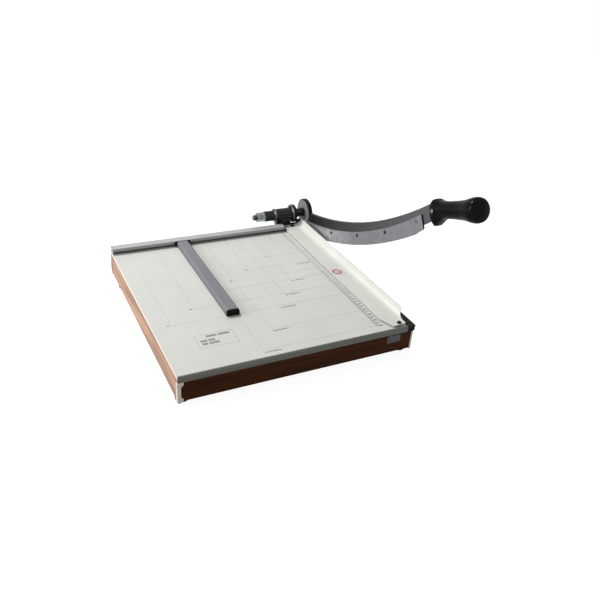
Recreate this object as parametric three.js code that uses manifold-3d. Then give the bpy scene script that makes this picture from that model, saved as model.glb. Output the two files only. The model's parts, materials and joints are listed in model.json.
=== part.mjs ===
// Guillotine paper cutter: a wooden bed with a fence, a sliding paper stop and a guard along the cut,
// and a curved blade arm that turns on a hinge behind the bed.
// Millimetres. X runs to the right, towards the cut, Y to the back, towards the hinge, and Z up.
// The bed's front left bottom corner is the working origin. At the end the whole cutter is moved so that
// its own origin is the middle of its box, at the level it stands on.

import * as THREE from 'three';
import { mergeVertices } from 'three/addons/utils/BufferGeometryUtils.js';
import Module from 'manifold-3d';

// Clearances and fineness
const seatGap = 0.3;
const overrun = 2;
const roundSegments = 32;
const smallSegments = 16;
const curveSteps = 6;
const hexSides = 6;

// Bed: a board on a mitred wooden frame
const bedWidth = 449;
const bedDepth = 462;
const bedHeight = 49;
const panelThickness = 5;
const railWidth = 22;
const rightRailWidth = 36;
const battenWidth = 40;
const battenHeight = 18;
const battenPlaceShares = [0.33, 0.67];

// Rubber feet
const footRadius = 12.5;
const footBottomRadius = 11;
const footHeight = 8;
const footSideInset = 12.6;
const footFrontInset = 18;
const footRearInset = 58;
const footRecessRadius = 4.5;
const footRecessDepth = 3;

// Fixed knife, let into the right rail
const knifeOverhang = 4.9;
const knifeWidth = 17;
const knifeHeight = 11;
const knifeRelief = 0.8;
const knifeLandHeight = 3;
const knifeScrewInset = 6.5;
const knifeScrewPlaceShares = [0.07, 0.36, 0.64, 0.92];

// Screws
const screwHeadRadius = 4;
const screwHeadDepth = 2.4;
const screwHeadRim = 0.5;
const screwShankRadius = 2;
const screwLength = 28;
const panHeadRadius = 4.2;
const panHeadHeight = 2.6;
const panHeadRound = 1.2;

// Grey angle over the front edge
const trimThickness = 1.2;
const trimDepth = 2;
const trimDrop = 10;
const trimRound = 1;

// Corner protectors
const cornerSheet = 1.2;
const cornerFlange = 9.8;
const cornerNarrowFlange = 3;
const cornerWaist = 5.4;
const cornerRound = 2.2;
const cornerToe = 5;
const cornerToeDrop = 2;
const cornerLobeShare = 0.1;
const cornerWaistShare = 0.27;

// Fence with a groove low in its front face, which rises behind its upper lip
const fenceWidth = 18.5;
const fenceHeight = 12;
const fenceRearInset = 1;
const fenceRightInset = 52.5;
const fenceRound = 1.2;
const grooveFloor = 1.3;
const grooveOpening = 6.5;
const grooveHeight = 8.7;
const grooveLip = 2.4;
const grooveDepth = 9;
const fenceCapThickness = 2.5;
const fenceCapRound = 2;
const fenceScrewPlaceShares = [0.08, 0.5, 0.92];
const fenceScrewRearInset = 5;
const fenceScrewGrip = 5.5;
const fenceBoreRadius = 5;

// Guard along the cut
const guardSheet = 2;
const guardLift = 2.3;
const guardLeftInset = 52;
const guardFlatWidth = 29;
const guardRiseRadius = 22;
const guardRiseDegrees = 60;
const guardLipWidth = 2;
const guardRidgeReach = 3;
const guardLipClearance = 5.5;
const guardPastBed = 4;
const guardFrontInset = 6;
const guardNoseInset = 12;
const guardCutInset = 31;
const guardTongueWidth = 25.5;
const guardTongueLength = 9;
const guardSweepInset = 24;
const guardShoulderInset = 38;
const guardFrontScrewSide = 26.8;
const guardFrontScrewInset = 11.4;
const guardRearScrewSide = 22.4;
const guardRearScrewInset = 6;
const guardSpacerRadius = 5;

// Hinge axis and the casting behind the bed
const pivotBehind = 18;
const pivotRise = 26;
const bracketLeftInset = 64.6;
const bracketWidth = 52.6;
const bracketPlate = 12;
const bracketFootInset = 6;
const bracketRound = 8;
const bracketLedgeInset = 2;
const bracketLedgeGap = 1.8;
const bracketRibThickness = 3;
const bracketRibHeight = 5.5;
const bracketLugHeight = 13.4;
const barrelRadius = 14.6;
const barrelLength = 35.1;
const barrelBoreRadius = 10.3;
const gussetDrop = 32;
const gussetTurnDegrees = -35;
const boltSideInset = 8;
const boltFootInset = 9;
const boltRise = 17;
const boltHeadRadius = 6;
const boltHeadHeight = 4.5;
const boltShankRadius = 3;
const boltLength = 30;

// Bush, hinge bolt and what is strung on it
const bushWall = 1.7;
const bushFlangeRadius = 14;
const bushFlangeThickness = 1.5;
const hingeShankRadius = 8;
const hingeThreadRadius = 6;
const hingeHeadRadius = 13;
const hingeHeadHeight = 7;
const hingeHeadDome = 2.5;
const hingeStub = 8;
const hingeChamfer = 1.2;
const collarRadius = 21;
const collarRootRadius = 15;
const collarConeLength = 3.6;
const collarLength = 11.6;
const collarChamfer = 1;
const spacerWall = 1.7;
const washerLength = 5.3;
const washerRadius = 15.5;
const washerNoseRadius = 12.4;
const washerRimLength = 2.2;
const cupRadius = 12;
const cupLength = 21;
const cupWall = 1.6;
const springWire = 1.1;
const springRadius = 8.4;
const springCoils = 5;
const springStepsPerCoil = 10;
const springSides = 4;
const nutRadius = 10.8;
const nutThickness = 10;
const nutChamfer = 1.4;

// Arm and blade, drawn in the closed position. Reach runs forward from the hinge axis.
const restOpenDegrees = 22.5;
const bladeRunGap = 0.2;
const bladeThickness = 3.2;
const bladeHeelReach = 10;
const bladeTipInset = 3.5;
const bladeTipSlant = 4.5;
const bladeTipOverlap = 7.25;
const bladeBelly = 35;
const bladeBellyShare = 0.43;
const bladeWidthAtBelly = 27.2;
const bladeWidthAtTip = 29.6;
const bladeTopBellyShare = 0.444;
const bladeBevel = 7;
const bladeBluntLength = 20;
const bladeBluntRise = 1.4;
const bladeTipRise = 3.7;
const bladeScrewDrop = 8;
const bladeScrewPlaceShares = [0.287, 0.517, 0.735, 0.951];
const bladeScrewLength = 12;
const armPastBed = 21.4;
const armThickness = 10;
const armLap = 17.5;
const armShowAtBelly = 19;
const armShowAtTip = 11;
const armBellyShare = 0.466;
const armChamfer = 1.2;
const armRootReach = 50;
const armStations = 26;
const hubRadius = 31;
const hubChamfer = 1;

// Handle on a round tang: narrow at its start, with a stop for the fingers below, and round at its end
const handleLength = 119.6;
const handleRadius = 21.2;
const handleAlongShares = [0, 0.04, 0.09, 0.15, 0.22, 0.32, 0.42, 0.55, 0.68, 0.78, 0.86, 0.92, 0.96, 0.985, 1];
const handleUpShares = [0.66, 0.9, 0.93, 0.8, 0.74, 0.71, 0.72, 0.74, 0.81, 0.92, 0.99, 0.97, 0.85, 0.45, 0];
const handleDownShares = [0.95, 1.26, 1.12, 0.94, 0.74, 0.68, 0.7, 0.74, 0.81, 0.92, 0.99, 0.97, 0.85, 0.45, 0];
const handleSideShares = [0.58, 0.62, 0.62, 0.63, 0.66, 0.7, 0.72, 0.74, 0.81, 0.92, 0.99, 0.97, 0.85, 0.45, 0];
const handleSquareShares = [1, 1, 1, 0.8, 0.5, 0.25, 0, 0, 0, 0, 0, 0, 0, 0, 0];
const handleFlatShare = 0.45;
const handleStations = 28;
const handleRise = 0.5;
const tangRadius = 6;
const tangLength = 90;
const handlePinRadius = 3.5;
const handlePinInset = 7.2;
const handlePinProud = 0.5;

// Paper stop
const stopLeft = 136.5;
const stopWidth = 25;
const stopHeight = 12;
const stopReach = 297;
const stopChamfer = 3.5;
const stopWall = 1.8;
const stopBedGap = 0.5;
const stopCapThickness = 3.5;
const stopPlugLength = 9;
const sliderLength = 34;
const sliderPlate = 3;
const sliderTongue = 36;
const sliderPlateInset = 1.2;

// Finishes
const laminate = finish(0xd7d8d0, 0.45, 0);
const wood = finish(0xb8703f, 0.6, 0);
const boardWood = finish(0xc9a26b, 0.75, 0);
const greyAluminium = finish(0x9d9da3, 0.45, 0.6);
const trimAluminium = finish(0x8c8a82, 0.5, 0.5);
const creamPaint = finish(0xe1e1d7, 0.4, 0);
const creamPlastic = finish(0xe6dfd0, 0.5, 0);
const blackPlastic = finish(0x1c1c1e, 0.35, 0);
const rubber = finish(0x202020, 0.85, 0);
const castIron = finish(0x35353a, 0.55, 0.4);
const armPaint = finish(0x4b4b4d, 0.5, 0.3);
const toolSteel = finish(0x8f9096, 0.3, 0.9);
const darkSteel = finish(0x4a464b, 0.4, 0.8);
const zincPlate = finish(0xb9bfbe, 0.35, 0.9);
const blackScrew = finish(0x1d1b1a, 0.45, 0.5);
const bronze = finish(0xa9803f, 0.4, 0.9);
const gripPlastic = finish(0x19191c, 0.3, 0);

// Levels and faces that several pieces share
const panelUnder = bedHeight - panelThickness;
const railTop = panelUnder - seatGap;
const knifeFace = bedWidth + knifeOverhang;
const knifeLeft = knifeFace - knifeWidth;
const knifeUnder = bedHeight - knifeHeight;
const knifeScrewX = knifeFace - knifeScrewInset - knifeOverhang;
const fenceRear = bedDepth - fenceRearInset;
const fenceFront = fenceRear - fenceWidth;
const fenceUnder = bedHeight + seatGap;
const fenceTop = fenceUnder + fenceHeight;
const fenceRight = bedWidth - fenceRightInset;
const grooveLow = fenceUnder + grooveFloor;
const fenceScrewY = fenceRear - fenceScrewRearInset;
const pivotY = bedDepth + pivotBehind;
const pivotZ = bedHeight + pivotRise;
const guardUnder = bedHeight + guardLift;
const guardLeft = bedWidth - guardLeftInset;
const guardRear = bedDepth + guardPastBed;
const guardScrewPlaces = [
  [guardLeft + guardFrontScrewSide, guardFrontScrewInset],
  [guardLeft + guardRearScrewSide, bedDepth - guardRearScrewInset],
];
const bracketLeft = bedWidth - bracketLeftInset;
const barrelRight = bracketLeft + barrelLength;
const collarLeft = barrelRight + 2 * seatGap + bushFlangeThickness;
const collarRight = collarLeft + collarLength;

const wasm = await Module();
wasm.setup();

// Finish of a material: its colour, roughness and metalness.
function finish(color, roughness, metalness) {
  return new THREE.MeshStandardMaterial({ color, roughness, metalness });
}

// The same surface with its corners merged, its empty triangles dropped and its faces pointing out.
function weld(geometry) {
  const bare = geometry.clone();
  bare.deleteAttribute('normal');
  bare.deleteAttribute('uv');
  const merged = mergeVertices(bare);
  const position = merged.attributes.position;
  const kept = [];
  let volume = 0;
  const [a, b, c] = [new THREE.Vector3(), new THREE.Vector3(), new THREE.Vector3()];
  for (let i = 0; i < merged.index.count; i += 3) {
    const corners = [merged.index.getX(i), merged.index.getX(i + 1), merged.index.getX(i + 2)];
    if (new Set(corners).size === 3) {
      kept.push(corners);
      a.fromBufferAttribute(position, corners[0]);
      b.fromBufferAttribute(position, corners[1]);
      c.fromBufferAttribute(position, corners[2]);
      volume += a.dot(b.cross(c));
    }
  }
  merged.setIndex(kept.flatMap((corners) => (volume < 0 ? corners.reverse() : corners)));
  return merged;
}

// A closed surface as a solid that can be joined and cut.
function solid(geometry) {
  const welded = weld(geometry);
  const vertProperties = welded.attributes.position.array;
  const triVerts = Uint32Array.from(welded.index.array);
  return new wasm.Manifold(new wasm.Mesh({ numProp: 3, vertProperties, triVerts }));
}

// The surface of a joined or cut solid.
function surface(body) {
  const { vertProperties, triVerts } = body.getMesh();
  const geometry = new THREE.BufferGeometry();
  geometry.setAttribute('position', new THREE.BufferAttribute(vertProperties, 3));
  geometry.setIndex(new THREE.BufferAttribute(triVerts, 1));
  return geometry;
}

function join(first, ...others) {
  return surface(others.reduce((body, other) => body.add(solid(other)), solid(first)));
}

function cut(first, ...others) {
  return surface(others.reduce((body, other) => body.subtract(solid(other)), solid(first)));
}

function common(first, ...others) {
  return surface(others.reduce((body, other) => body.intersect(solid(other)), solid(first)));
}

function extrude(shape, depth) {
  return new THREE.ExtrudeGeometry(shape, { depth, bevelEnabled: false, curveSegments: curveSteps });
}

// A section drawn in Y and Z, run along X.
function alongX(shape, from, to) {
  const turn = new THREE.Matrix4().makeBasis(
    new THREE.Vector3(0, 1, 0),
    new THREE.Vector3(0, 0, 1),
    new THREE.Vector3(1, 0, 0),
  );
  return extrude(shape, to - from).applyMatrix4(turn).translate(from, 0, 0);
}

// A section drawn in X and Z, run along Y.
function alongY(shape, from, to) {
  const turn = new THREE.Matrix4().makeBasis(
    new THREE.Vector3(1, 0, 0),
    new THREE.Vector3(0, 0, 1),
    new THREE.Vector3(0, -1, 0),
  );
  return extrude(shape, to - from).applyMatrix4(turn).translate(0, to, 0);
}

// A plan drawn in X and Y, run along Z.
function alongZ(shape, from, to) {
  return extrude(shape, to - from).translate(0, 0, from);
}

function polygon(points) {
  return new THREE.Shape(points.map(([x, y]) => new THREE.Vector2(x, y)));
}

function rectangle(left, low, right, high) {
  return polygon([[left, low], [right, low], [right, high], [left, high]]);
}

// A rectangle with its corners rounded, in the order low left, low right, high right, high left.
function roundedRectangle(left, low, right, high, [lowLeft, lowRight, highRight, highLeft]) {
  const quarter = Math.PI / 2;
  const shape = new THREE.Shape();
  shape.moveTo(left + lowLeft, low);
  shape.lineTo(right - lowRight, low);
  shape.absarc(right - lowRight, low + lowRight, lowRight, -quarter, 0, false);
  shape.lineTo(right, high - highRight);
  shape.absarc(right - highRight, high - highRight, highRight, 0, quarter, false);
  shape.lineTo(left + highLeft, high);
  shape.absarc(left + highLeft, high - highLeft, highLeft, quarter, 2 * quarter, false);
  shape.lineTo(left, low + lowLeft);
  shape.absarc(left + lowLeft, low + lowLeft, lowLeft, 2 * quarter, 3 * quarter, false);
  return shape;
}

// A profile of [radius, place along the axis] points, turned about an axis through the given point.
function revolve(axis, points, [x, y, z], segments = roundSegments) {
  const lathe = new THREE.LatheGeometry(points.map(([r, along]) => new THREE.Vector2(r, along)), segments);
  if (axis === 'x') {
    lathe.rotateZ(-Math.PI / 2);
  }
  if (axis === 'z') {
    lathe.rotateX(Math.PI / 2);
  }
  return lathe.translate(x, y, z);
}

// A round rod or the cutter for a round hole.
function rod(axis, radius, from, to, centre, segments = roundSegments) {
  return revolve(axis, [[0, from], [radius, from], [radius, to], [0, to]], centre, segments);
}

// A ring with a bore.
function ring(axis, radius, bore, from, to, centre) {
  return revolve(axis, [[bore, from], [radius, from], [radius, to], [bore, to], [bore, from]], centre);
}

// A countersunk screw with its head's top at zero and its point down the axis.
function countersunk(axis, length, centre, turned = 1) {
  const points = [
    [0, 0],
    [screwHeadRadius, 0],
    [screwHeadRadius, -screwHeadRim],
    [screwShankRadius, -screwHeadDepth],
    [screwShankRadius, -length + screwShankRadius],
    [0, -length],
  ];
  return revolve(axis, points.map(([r, along]) => [r, along * turned]), centre, smallSegments);
}

// The hole for that screw, wider all round by the seat gap.
function countersink(axis, length, centre, turned = 1) {
  const points = [
    [0, overrun],
    [screwHeadRadius + seatGap, overrun],
    [screwHeadRadius + seatGap, -screwHeadRim],
    [screwShankRadius + seatGap, -screwHeadDepth],
    [screwShankRadius + seatGap, -length - seatGap],
    [0, -length - seatGap],
  ];
  return revolve(axis, points.map(([r, along]) => [r, along * turned]), centre, smallSegments);
}

// A closed skin through rings that all have the same number of points.
function loft(rings) {
  const count = rings[0].length;
  const positions = rings.flat(2);
  const index = [];
  for (let i = 0; i + 1 < rings.length; i += 1) {
    for (let j = 0; j < count; j += 1) {
      const here = i * count + j;
      const next = i * count + ((j + 1) % count);
      index.push(here, next, next + count, here, next + count, here + count);
    }
  }
  const last = (rings.length - 1) * count;
  for (let j = 1; j + 1 < count; j += 1) {
    index.push(0, j + 1, j, last, last + j, last + j + 1);
  }
  const geometry = new THREE.BufferGeometry();
  geometry.setAttribute('position', new THREE.BufferAttribute(new Float32Array(positions), 3));
  geometry.setIndex(index);
  return geometry;
}

const cutter = new THREE.Group();
const armGroup = new THREE.Group();

function add(parent, name, geometry, material) {
  const mesh = new THREE.Mesh(weld(geometry), material);
  mesh.name = name;
  mesh.geometry.computeVertexNormals();
  parent.add(mesh);
}

// Holes that go down into the wood

const knifeScrewYs = knifeScrewPlaceShares.map((share) => share * bedDepth);
const fenceScrewXs = fenceScrewPlaceShares.map((share) => share * fenceRight);
const fenceScrewHead = fenceUnder + fenceScrewGrip - screwLength;
const knifeHoles = knifeScrewYs.map((y) => countersink('z', screwLength, [knifeScrewX, y, bedHeight]));
const guardHoles = guardScrewPlaces.map(([x, y]) => rod(
  'z',
  screwShankRadius + seatGap,
  guardUnder + guardSheet - screwLength - seatGap,
  guardUnder + guardSheet + overrun,
  [x, y, 0],
  smallSegments,
));
const fenceHoles = fenceScrewXs.map((x) => countersink('z', screwLength, [x, fenceScrewY, fenceScrewHead], -1));
const boltXs = [bracketLeft + boltSideInset, bracketLeft + bracketWidth - boltSideInset];
const boltZs = [bracketFootInset + boltFootInset, bracketFootInset + boltFootInset + boltRise];
const bracketFront = bedDepth + seatGap;
const bracketBack = bracketFront + bracketPlate;
const boltPlaces = boltZs.flatMap((z) => boltXs.map((x) => [x, z]));
const boltHoles = boltPlaces.map(([x, z]) => rod(
  'y',
  boltShankRadius + seatGap,
  bracketBack + seatGap - boltLength - seatGap,
  bracketBack + overrun,
  [x, 0, z],
  smallSegments,
));

// Wooden frame, mitred at its corners, with a rebate for the fixed knife

function addFrame() {
  const inner = {
    left: railWidth,
    right: bedWidth - rightRailWidth,
    front: railWidth,
    rear: bedDepth - railWidth,
  };
  const rebate = alongY(
    rectangle(knifeLeft - seatGap, knifeUnder - seatGap, bedWidth + overrun, bedHeight),
    -overrun,
    bedDepth + overrun,
  );
  const front = polygon([[0, 0], [bedWidth, 0], [inner.right, inner.front], [inner.left, inner.front]]);
  const rear = polygon([[0, bedDepth], [inner.left, inner.rear], [inner.right, inner.rear], [bedWidth, bedDepth]]);
  const left = polygon([
    [0, seatGap],
    [inner.left, inner.front + seatGap],
    [inner.left, inner.rear - seatGap],
    [0, bedDepth - seatGap],
  ]);
  const right = polygon([
    [bedWidth, seatGap],
    [bedWidth, bedDepth - seatGap],
    [inner.right, inner.rear - seatGap],
    [inner.right, inner.front + seatGap],
  ]);
  const fenceBores = fenceScrewXs.map((x) => rod(
    'z',
    fenceBoreRadius,
    -overrun,
    fenceScrewHead,
    [x, fenceScrewY, 0],
    smallSegments,
  ));
  const rearHoles = [...guardHoles, ...fenceHoles, ...fenceBores, ...boltHoles];
  const rightHoles = [...guardHoles, ...knifeHoles, ...boltHoles];
  add(cutter, 'front_rail', cut(alongZ(front, 0, railTop), rebate, ...guardHoles), wood);
  add(cutter, 'rear_rail', cut(alongZ(rear, 0, railTop), rebate, ...rearHoles), wood);
  add(cutter, 'left_rail', alongZ(left, 0, railTop), wood);
  add(cutter, 'right_rail', cut(alongZ(right, 0, railTop), rebate, ...rightHoles), wood);

  battenPlaceShares.forEach((share, i) => {
    const middle = share * bedDepth;
    const plan = rectangle(
      inner.left + seatGap,
      middle - battenWidth / 2,
      inner.right - seatGap,
      middle + battenWidth / 2,
    );
    const name = ['cross_batten_front', 'cross_batten_rear'][i];
    add(cutter, name, alongZ(plan, railTop - battenHeight, railTop), boardWood);
  });
}

// Board that the paper lies on
function addPanel() {
  const board = alongZ(rectangle(0, 0, knifeLeft - seatGap, bedDepth), panelUnder, bedHeight);
  add(cutter, 'top_panel', cut(board, ...guardHoles, ...fenceHoles), laminate);
}

// Rubber foot with a recess for its fixing
function addFeet() {
  const profile = [
    [0, 0],
    [footRadius, 0],
    [footBottomRadius, -footHeight],
    [footRecessRadius, -footHeight],
    [footRecessRadius, -footHeight + footRecessDepth],
    [0, -footHeight + footRecessDepth],
  ];
  const sides = { left: footSideInset, right: bedWidth - footSideInset };
  const ends = { front: footFrontInset, rear: bedDepth - footRearInset };
  for (const [end, y] of Object.entries(ends)) {
    for (const [side, x] of Object.entries(sides)) {
      add(cutter, `foot_${end}_${side}`, revolve('z', profile, [x, y, -seatGap]), rubber);
    }
  }
}

// Fixed knife: a bar whose outer face is relieved below the cutting edge
function addKnife() {
  const section = polygon([
    [knifeLeft, knifeUnder],
    [knifeFace - knifeRelief, knifeUnder],
    [knifeFace - knifeRelief, bedHeight - knifeLandHeight],
    [knifeFace, bedHeight - knifeLandHeight],
    [knifeFace, bedHeight],
    [knifeLeft, bedHeight],
  ]);
  add(cutter, 'bed_knife', cut(alongY(section, 0, fenceRear), ...knifeHoles), darkSteel);
  knifeScrewYs.forEach((y, i) => {
    add(cutter, `knife_screw_${i + 1}`, countersunk('z', screwLength, [knifeScrewX, y, bedHeight]), blackScrew);
  });
}

// Angle over the front edge, rounded at its outer corner
function addTrim() {
  const outerY = -seatGap - trimThickness;
  const innerZ = bedHeight + seatGap;
  const outerZ = innerZ + trimThickness;
  const low = bedHeight - trimDrop;
  const section = new THREE.Shape();
  section.moveTo(outerY, low);
  section.lineTo(-seatGap, low);
  section.lineTo(-seatGap, innerZ);
  section.lineTo(trimDepth, innerZ);
  section.lineTo(trimDepth, outerZ);
  section.lineTo(outerY + trimRound, outerZ);
  section.absarc(outerY + trimRound, outerZ - trimRound, trimRound, Math.PI / 2, Math.PI, false);
  add(cutter, 'front_trim', alongX(section, 0, knifeLeft - seatGap), trimAluminium);
}

// Protector for one corner, the same moulding at each. From the corner at zero its wide flange runs towards
// +X, with a scalloped edge and a toe that drops past the rail, and its plain narrow flange towards +Y.
function cornerProtector(height) {
  const outer = -seatGap - cornerSheet;
  const plan = new THREE.Shape();
  plan.moveTo(cornerFlange, outer);
  plan.lineTo(cornerFlange, -seatGap);
  plan.lineTo(-seatGap, -seatGap);
  plan.lineTo(-seatGap, cornerNarrowFlange);
  plan.lineTo(outer, cornerNarrowFlange);
  plan.lineTo(outer, outer + cornerRound);
  plan.absarc(outer + cornerRound, outer + cornerRound, cornerRound, Math.PI, Math.PI * 1.5, false);

  // The wide flange swells at the top and the bottom, draws in between them and runs out in the toe.
  const side = new THREE.Shape();
  const low = -seatGap - cornerToeDrop;
  const lobe = height * cornerLobeShare;
  const waist = height * cornerWaistShare;
  const bend = (lobe + waist) / 2;
  side.moveTo(outer - overrun, 0);
  side.lineTo(-seatGap, 0);
  side.quadraticCurveTo(-seatGap, low, cornerRound - seatGap, low);
  side.lineTo(cornerToe, low);
  side.quadraticCurveTo(cornerFlange, 0, cornerFlange, lobe);
  side.bezierCurveTo(cornerFlange, bend, cornerWaist, bend, cornerWaist, waist);
  side.lineTo(cornerWaist, height - waist);
  side.bezierCurveTo(cornerWaist, height - bend, cornerFlange, height - bend, cornerFlange, height - lobe);
  side.lineTo(cornerFlange, height + overrun);
  side.lineTo(outer - overrun, height + overrun);
  return common(
    alongZ(plan, low - overrun, height),
    alongY(side, outer - overrun, cornerNarrowFlange + overrun),
  );
}

function addCorners() {
  const underTrim = bedHeight - trimDrop - seatGap;
  const underKnife = knifeUnder - seatGap;
  const places = [
    ['corner_front_left', 0, 0, 0, underTrim],
    ['corner_front_right', 1, bedWidth, 0, underKnife],
    ['corner_rear_right', 2, bedWidth, bedDepth, underKnife],
    ['corner_rear_left', 3, 0, bedDepth, underTrim],
  ];
  for (const [name, quarters, x, y, height] of places) {
    const piece = cornerProtector(height).rotateZ(quarters * Math.PI / 2).translate(x, y, 0);
    add(cutter, name, piece, creamPlastic);
  }
}

// Fence: an extrusion with a groove open to the front, screwed up from below
function addFence() {
  const rail = roundedRectangle(fenceFront, fenceUnder, fenceRear, fenceTop, [0, 0, fenceRound, fenceRound]);
  const left = fenceCapThickness + seatGap;
  const right = fenceRight - fenceCapThickness - seatGap;
  const groove = polygon([
    [fenceFront - overrun, grooveLow],
    [fenceFront + grooveDepth, grooveLow],
    [fenceFront + grooveDepth, grooveLow + grooveHeight],
    [fenceFront + grooveLip, grooveLow + grooveHeight],
    [fenceFront + grooveLip, grooveLow + grooveOpening],
    [fenceFront - overrun, grooveLow + grooveOpening],
  ]);
  const body = cut(
    alongX(rail, left, right),
    alongX(groove, left - overrun, right + overrun),
    ...fenceHoles,
  );
  add(cutter, 'fence', body, greyAluminium);
  fenceScrewXs.forEach((x, i) => {
    const screw = countersunk('z', screwLength, [x, fenceScrewY, fenceScrewHead], -1);
    add(cutter, `fence_screw_${i + 1}`, screw, zincPlate);
  });

  const capRounds = { left: [fenceCapRound, 0, 0, fenceCapRound], right: [0, fenceCapRound, fenceCapRound, 0] };
  const capStarts = { left: 0, right: fenceRight - fenceCapThickness };
  for (const side of ['left', 'right']) {
    const start = capStarts[side];
    const plan = roundedRectangle(start, fenceFront, start + fenceCapThickness, fenceRear, capRounds[side]);
    const material = side === 'left' ? greyAluminium : blackPlastic;
    add(cutter, `fence_cap_${side}`, alongZ(plan, fenceUnder, fenceTop), material);
  }
}

// Guard: a sheet that lies flat, curves up to a ridge beside the blade and turns down in a lip.
// Its front end narrows in a curve to a flat tongue with a screw.
function addGuard() {
  const turn = THREE.MathUtils.degToRad(guardRiseDegrees);
  const low = guardUnder;
  const high = guardUnder + guardSheet;
  const riseX = guardLeft + guardFlatWidth;
  const centreZ = high + guardRiseRadius;
  const innerX = riseX + (guardRiseRadius + guardSheet) * Math.sin(turn);
  const ridgeX = riseX + guardRiseRadius * Math.sin(turn);
  const ridgeZ = centreZ - guardRiseRadius * Math.cos(turn);
  const lipRight = innerX + guardLipWidth;
  const lipLow = bedHeight + guardLipClearance;
  const section = new THREE.Shape();
  section.moveTo(guardLeft, low);
  section.lineTo(riseX, low);
  section.absarc(riseX, centreZ, guardRiseRadius + guardSheet, -Math.PI / 2, turn - Math.PI / 2, false);
  section.lineTo(innerX, lipLow);
  section.lineTo(lipRight, lipLow);
  section.lineTo(lipRight, ridgeZ - guardRidgeReach / 2);
  section.quadraticCurveTo(lipRight, ridgeZ + guardRidgeReach / 2, ridgeX, ridgeZ);
  section.absarc(riseX, centreZ, guardRiseRadius, turn - Math.PI / 2, -Math.PI / 2, true);
  section.lineTo(guardLeft, high);

  const tongueRight = guardLeft + guardNoseInset + guardTongueWidth;
  const plan = new THREE.Shape();
  plan.moveTo(guardLeft, guardFrontInset + guardCutInset);
  plan.lineTo(guardLeft + guardNoseInset, guardFrontInset);
  plan.lineTo(tongueRight, guardFrontInset);
  plan.lineTo(tongueRight, guardFrontInset + guardTongueLength);
  plan.quadraticCurveTo(
    tongueRight,
    guardFrontInset + guardSweepInset,
    lipRight,
    guardFrontInset + guardShoulderInset,
  );
  plan.lineTo(lipRight + overrun, guardFrontInset + guardShoulderInset);
  plan.lineTo(lipRight + overrun, guardRear);
  plan.lineTo(guardLeft, guardRear);
  const sheet = common(
    alongY(section, 0, guardRear),
    alongZ(plan, 0, centreZ),
  );
  add(cutter, 'guard', cut(sheet, ...guardHoles), creamPaint);

  guardScrewPlaces.forEach(([x, y], i) => {
    const end = ['front', 'rear'][i];
    const bore = screwShankRadius + seatGap;
    const spacer = ring('z', guardSpacerRadius, bore, bedHeight + seatGap, guardUnder - seatGap, [x, y, 0]);
    add(cutter, `guard_spacer_${end}`, spacer, zincPlate);
    const seat = seatGap;
    const point = seat - screwLength;
    const profile = [
      [0, seat + panHeadHeight],
      [panHeadRadius - panHeadRound, seat + panHeadHeight],
      [panHeadRadius, seat + panHeadHeight - panHeadRound],
      [panHeadRadius, seat],
      [screwShankRadius, seat],
      [screwShankRadius, point + screwShankRadius],
      [0, point],
    ];
    const screw = revolve('z', profile, [x, y, guardUnder + guardSheet], smallSegments);
    add(cutter, `guard_screw_${end}`, screw, blackScrew);
  });
}

// Casting behind the bed: a plate bolted to the rear rail, with the hinge barrel on a curved web.
// To the right it runs out in a ledge over the corner protector, with a rib on it that rises in a lug beside
// the collar. It keeps under the guard, and stands up only behind it.
function addBracket() {
  const right = bracketLeft + bracketWidth;
  const ledgeRight = bedWidth - bracketLedgeInset;
  const ledgeUnder = knifeUnder - seatGap + bracketLedgeGap;
  const shoulder = guardUnder - 2 * seatGap;
  const behindGuard = guardRear + 2 * seatGap;
  const plate = alongY(
    roundedRectangle(bracketLeft, bracketFootInset, right, shoulder, [bracketRound, bracketRound, 0, 0]),
    bracketFront,
    bracketBack,
  );
  const ledge = alongY(
    rectangle(right - bracketRound, ledgeUnder, ledgeRight, shoulder),
    bracketFront,
    bracketBack,
  );
  const rib = alongX(
    rectangle(behindGuard, ledgeUnder, behindGuard + bracketRibThickness, shoulder + bracketRibHeight),
    bracketLeft,
    ledgeRight,
  );
  const lug = alongX(
    rectangle(behindGuard, ledgeUnder, behindGuard + bracketRibThickness, shoulder + bracketLugHeight),
    collarRight + 2 * seatGap,
    ledgeRight,
  );
  const turn = THREE.MathUtils.degToRad(gussetTurnDegrees);
  const web = new THREE.Shape();
  web.moveTo(behindGuard, pivotZ - gussetDrop);
  web.lineTo(behindGuard, pivotZ);
  web.lineTo(pivotY - barrelRadius, pivotZ);
  web.absarc(pivotY, pivotZ, barrelRadius, Math.PI, turn, true);
  web.quadraticCurveTo(bracketBack, shoulder, bracketBack, pivotZ - gussetDrop);
  const barrel = rod('x', barrelRadius, bracketLeft, barrelRight, [0, pivotY, pivotZ]);
  const bore = rod('x', barrelBoreRadius, bracketLeft - overrun, barrelRight + overrun, [0, pivotY, pivotZ]);
  const casting = join(plate, ledge, rib, lug, alongX(web, bracketLeft, barrelRight), barrel);
  add(cutter, 'hinge_bracket', cut(casting, bore, ...boltHoles), castIron);

  boltPlaces.forEach(([x, z], i) => {
    const seat = bracketBack + seatGap;
    const head = rod('y', boltHeadRadius, seat, seat + boltHeadHeight, [x, 0, z], hexSides);
    const shank = rod('y', boltShankRadius, seat - boltLength, seat + boltHeadHeight / 2, [x, 0, z], smallSegments);
    add(cutter, `bracket_bolt_${i + 1}`, join(head, shank), zincPlate);
  });

  const bushRadius = barrelBoreRadius - seatGap;
  const bushBore = bushRadius - bushWall;
  const bush = [
    [bushBore, bracketLeft],
    [bushRadius, bracketLeft],
    [bushRadius, barrelRight + seatGap],
    [bushFlangeRadius, barrelRight + seatGap],
    [bushFlangeRadius, barrelRight + seatGap + bushFlangeThickness],
    [bushBore, barrelRight + seatGap + bushFlangeThickness],
    [bushBore, bracketLeft],
  ];
  add(cutter, 'hinge_bush', revolve('x', bush, [0, pivotY, pivotZ]), bronze);
}

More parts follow.
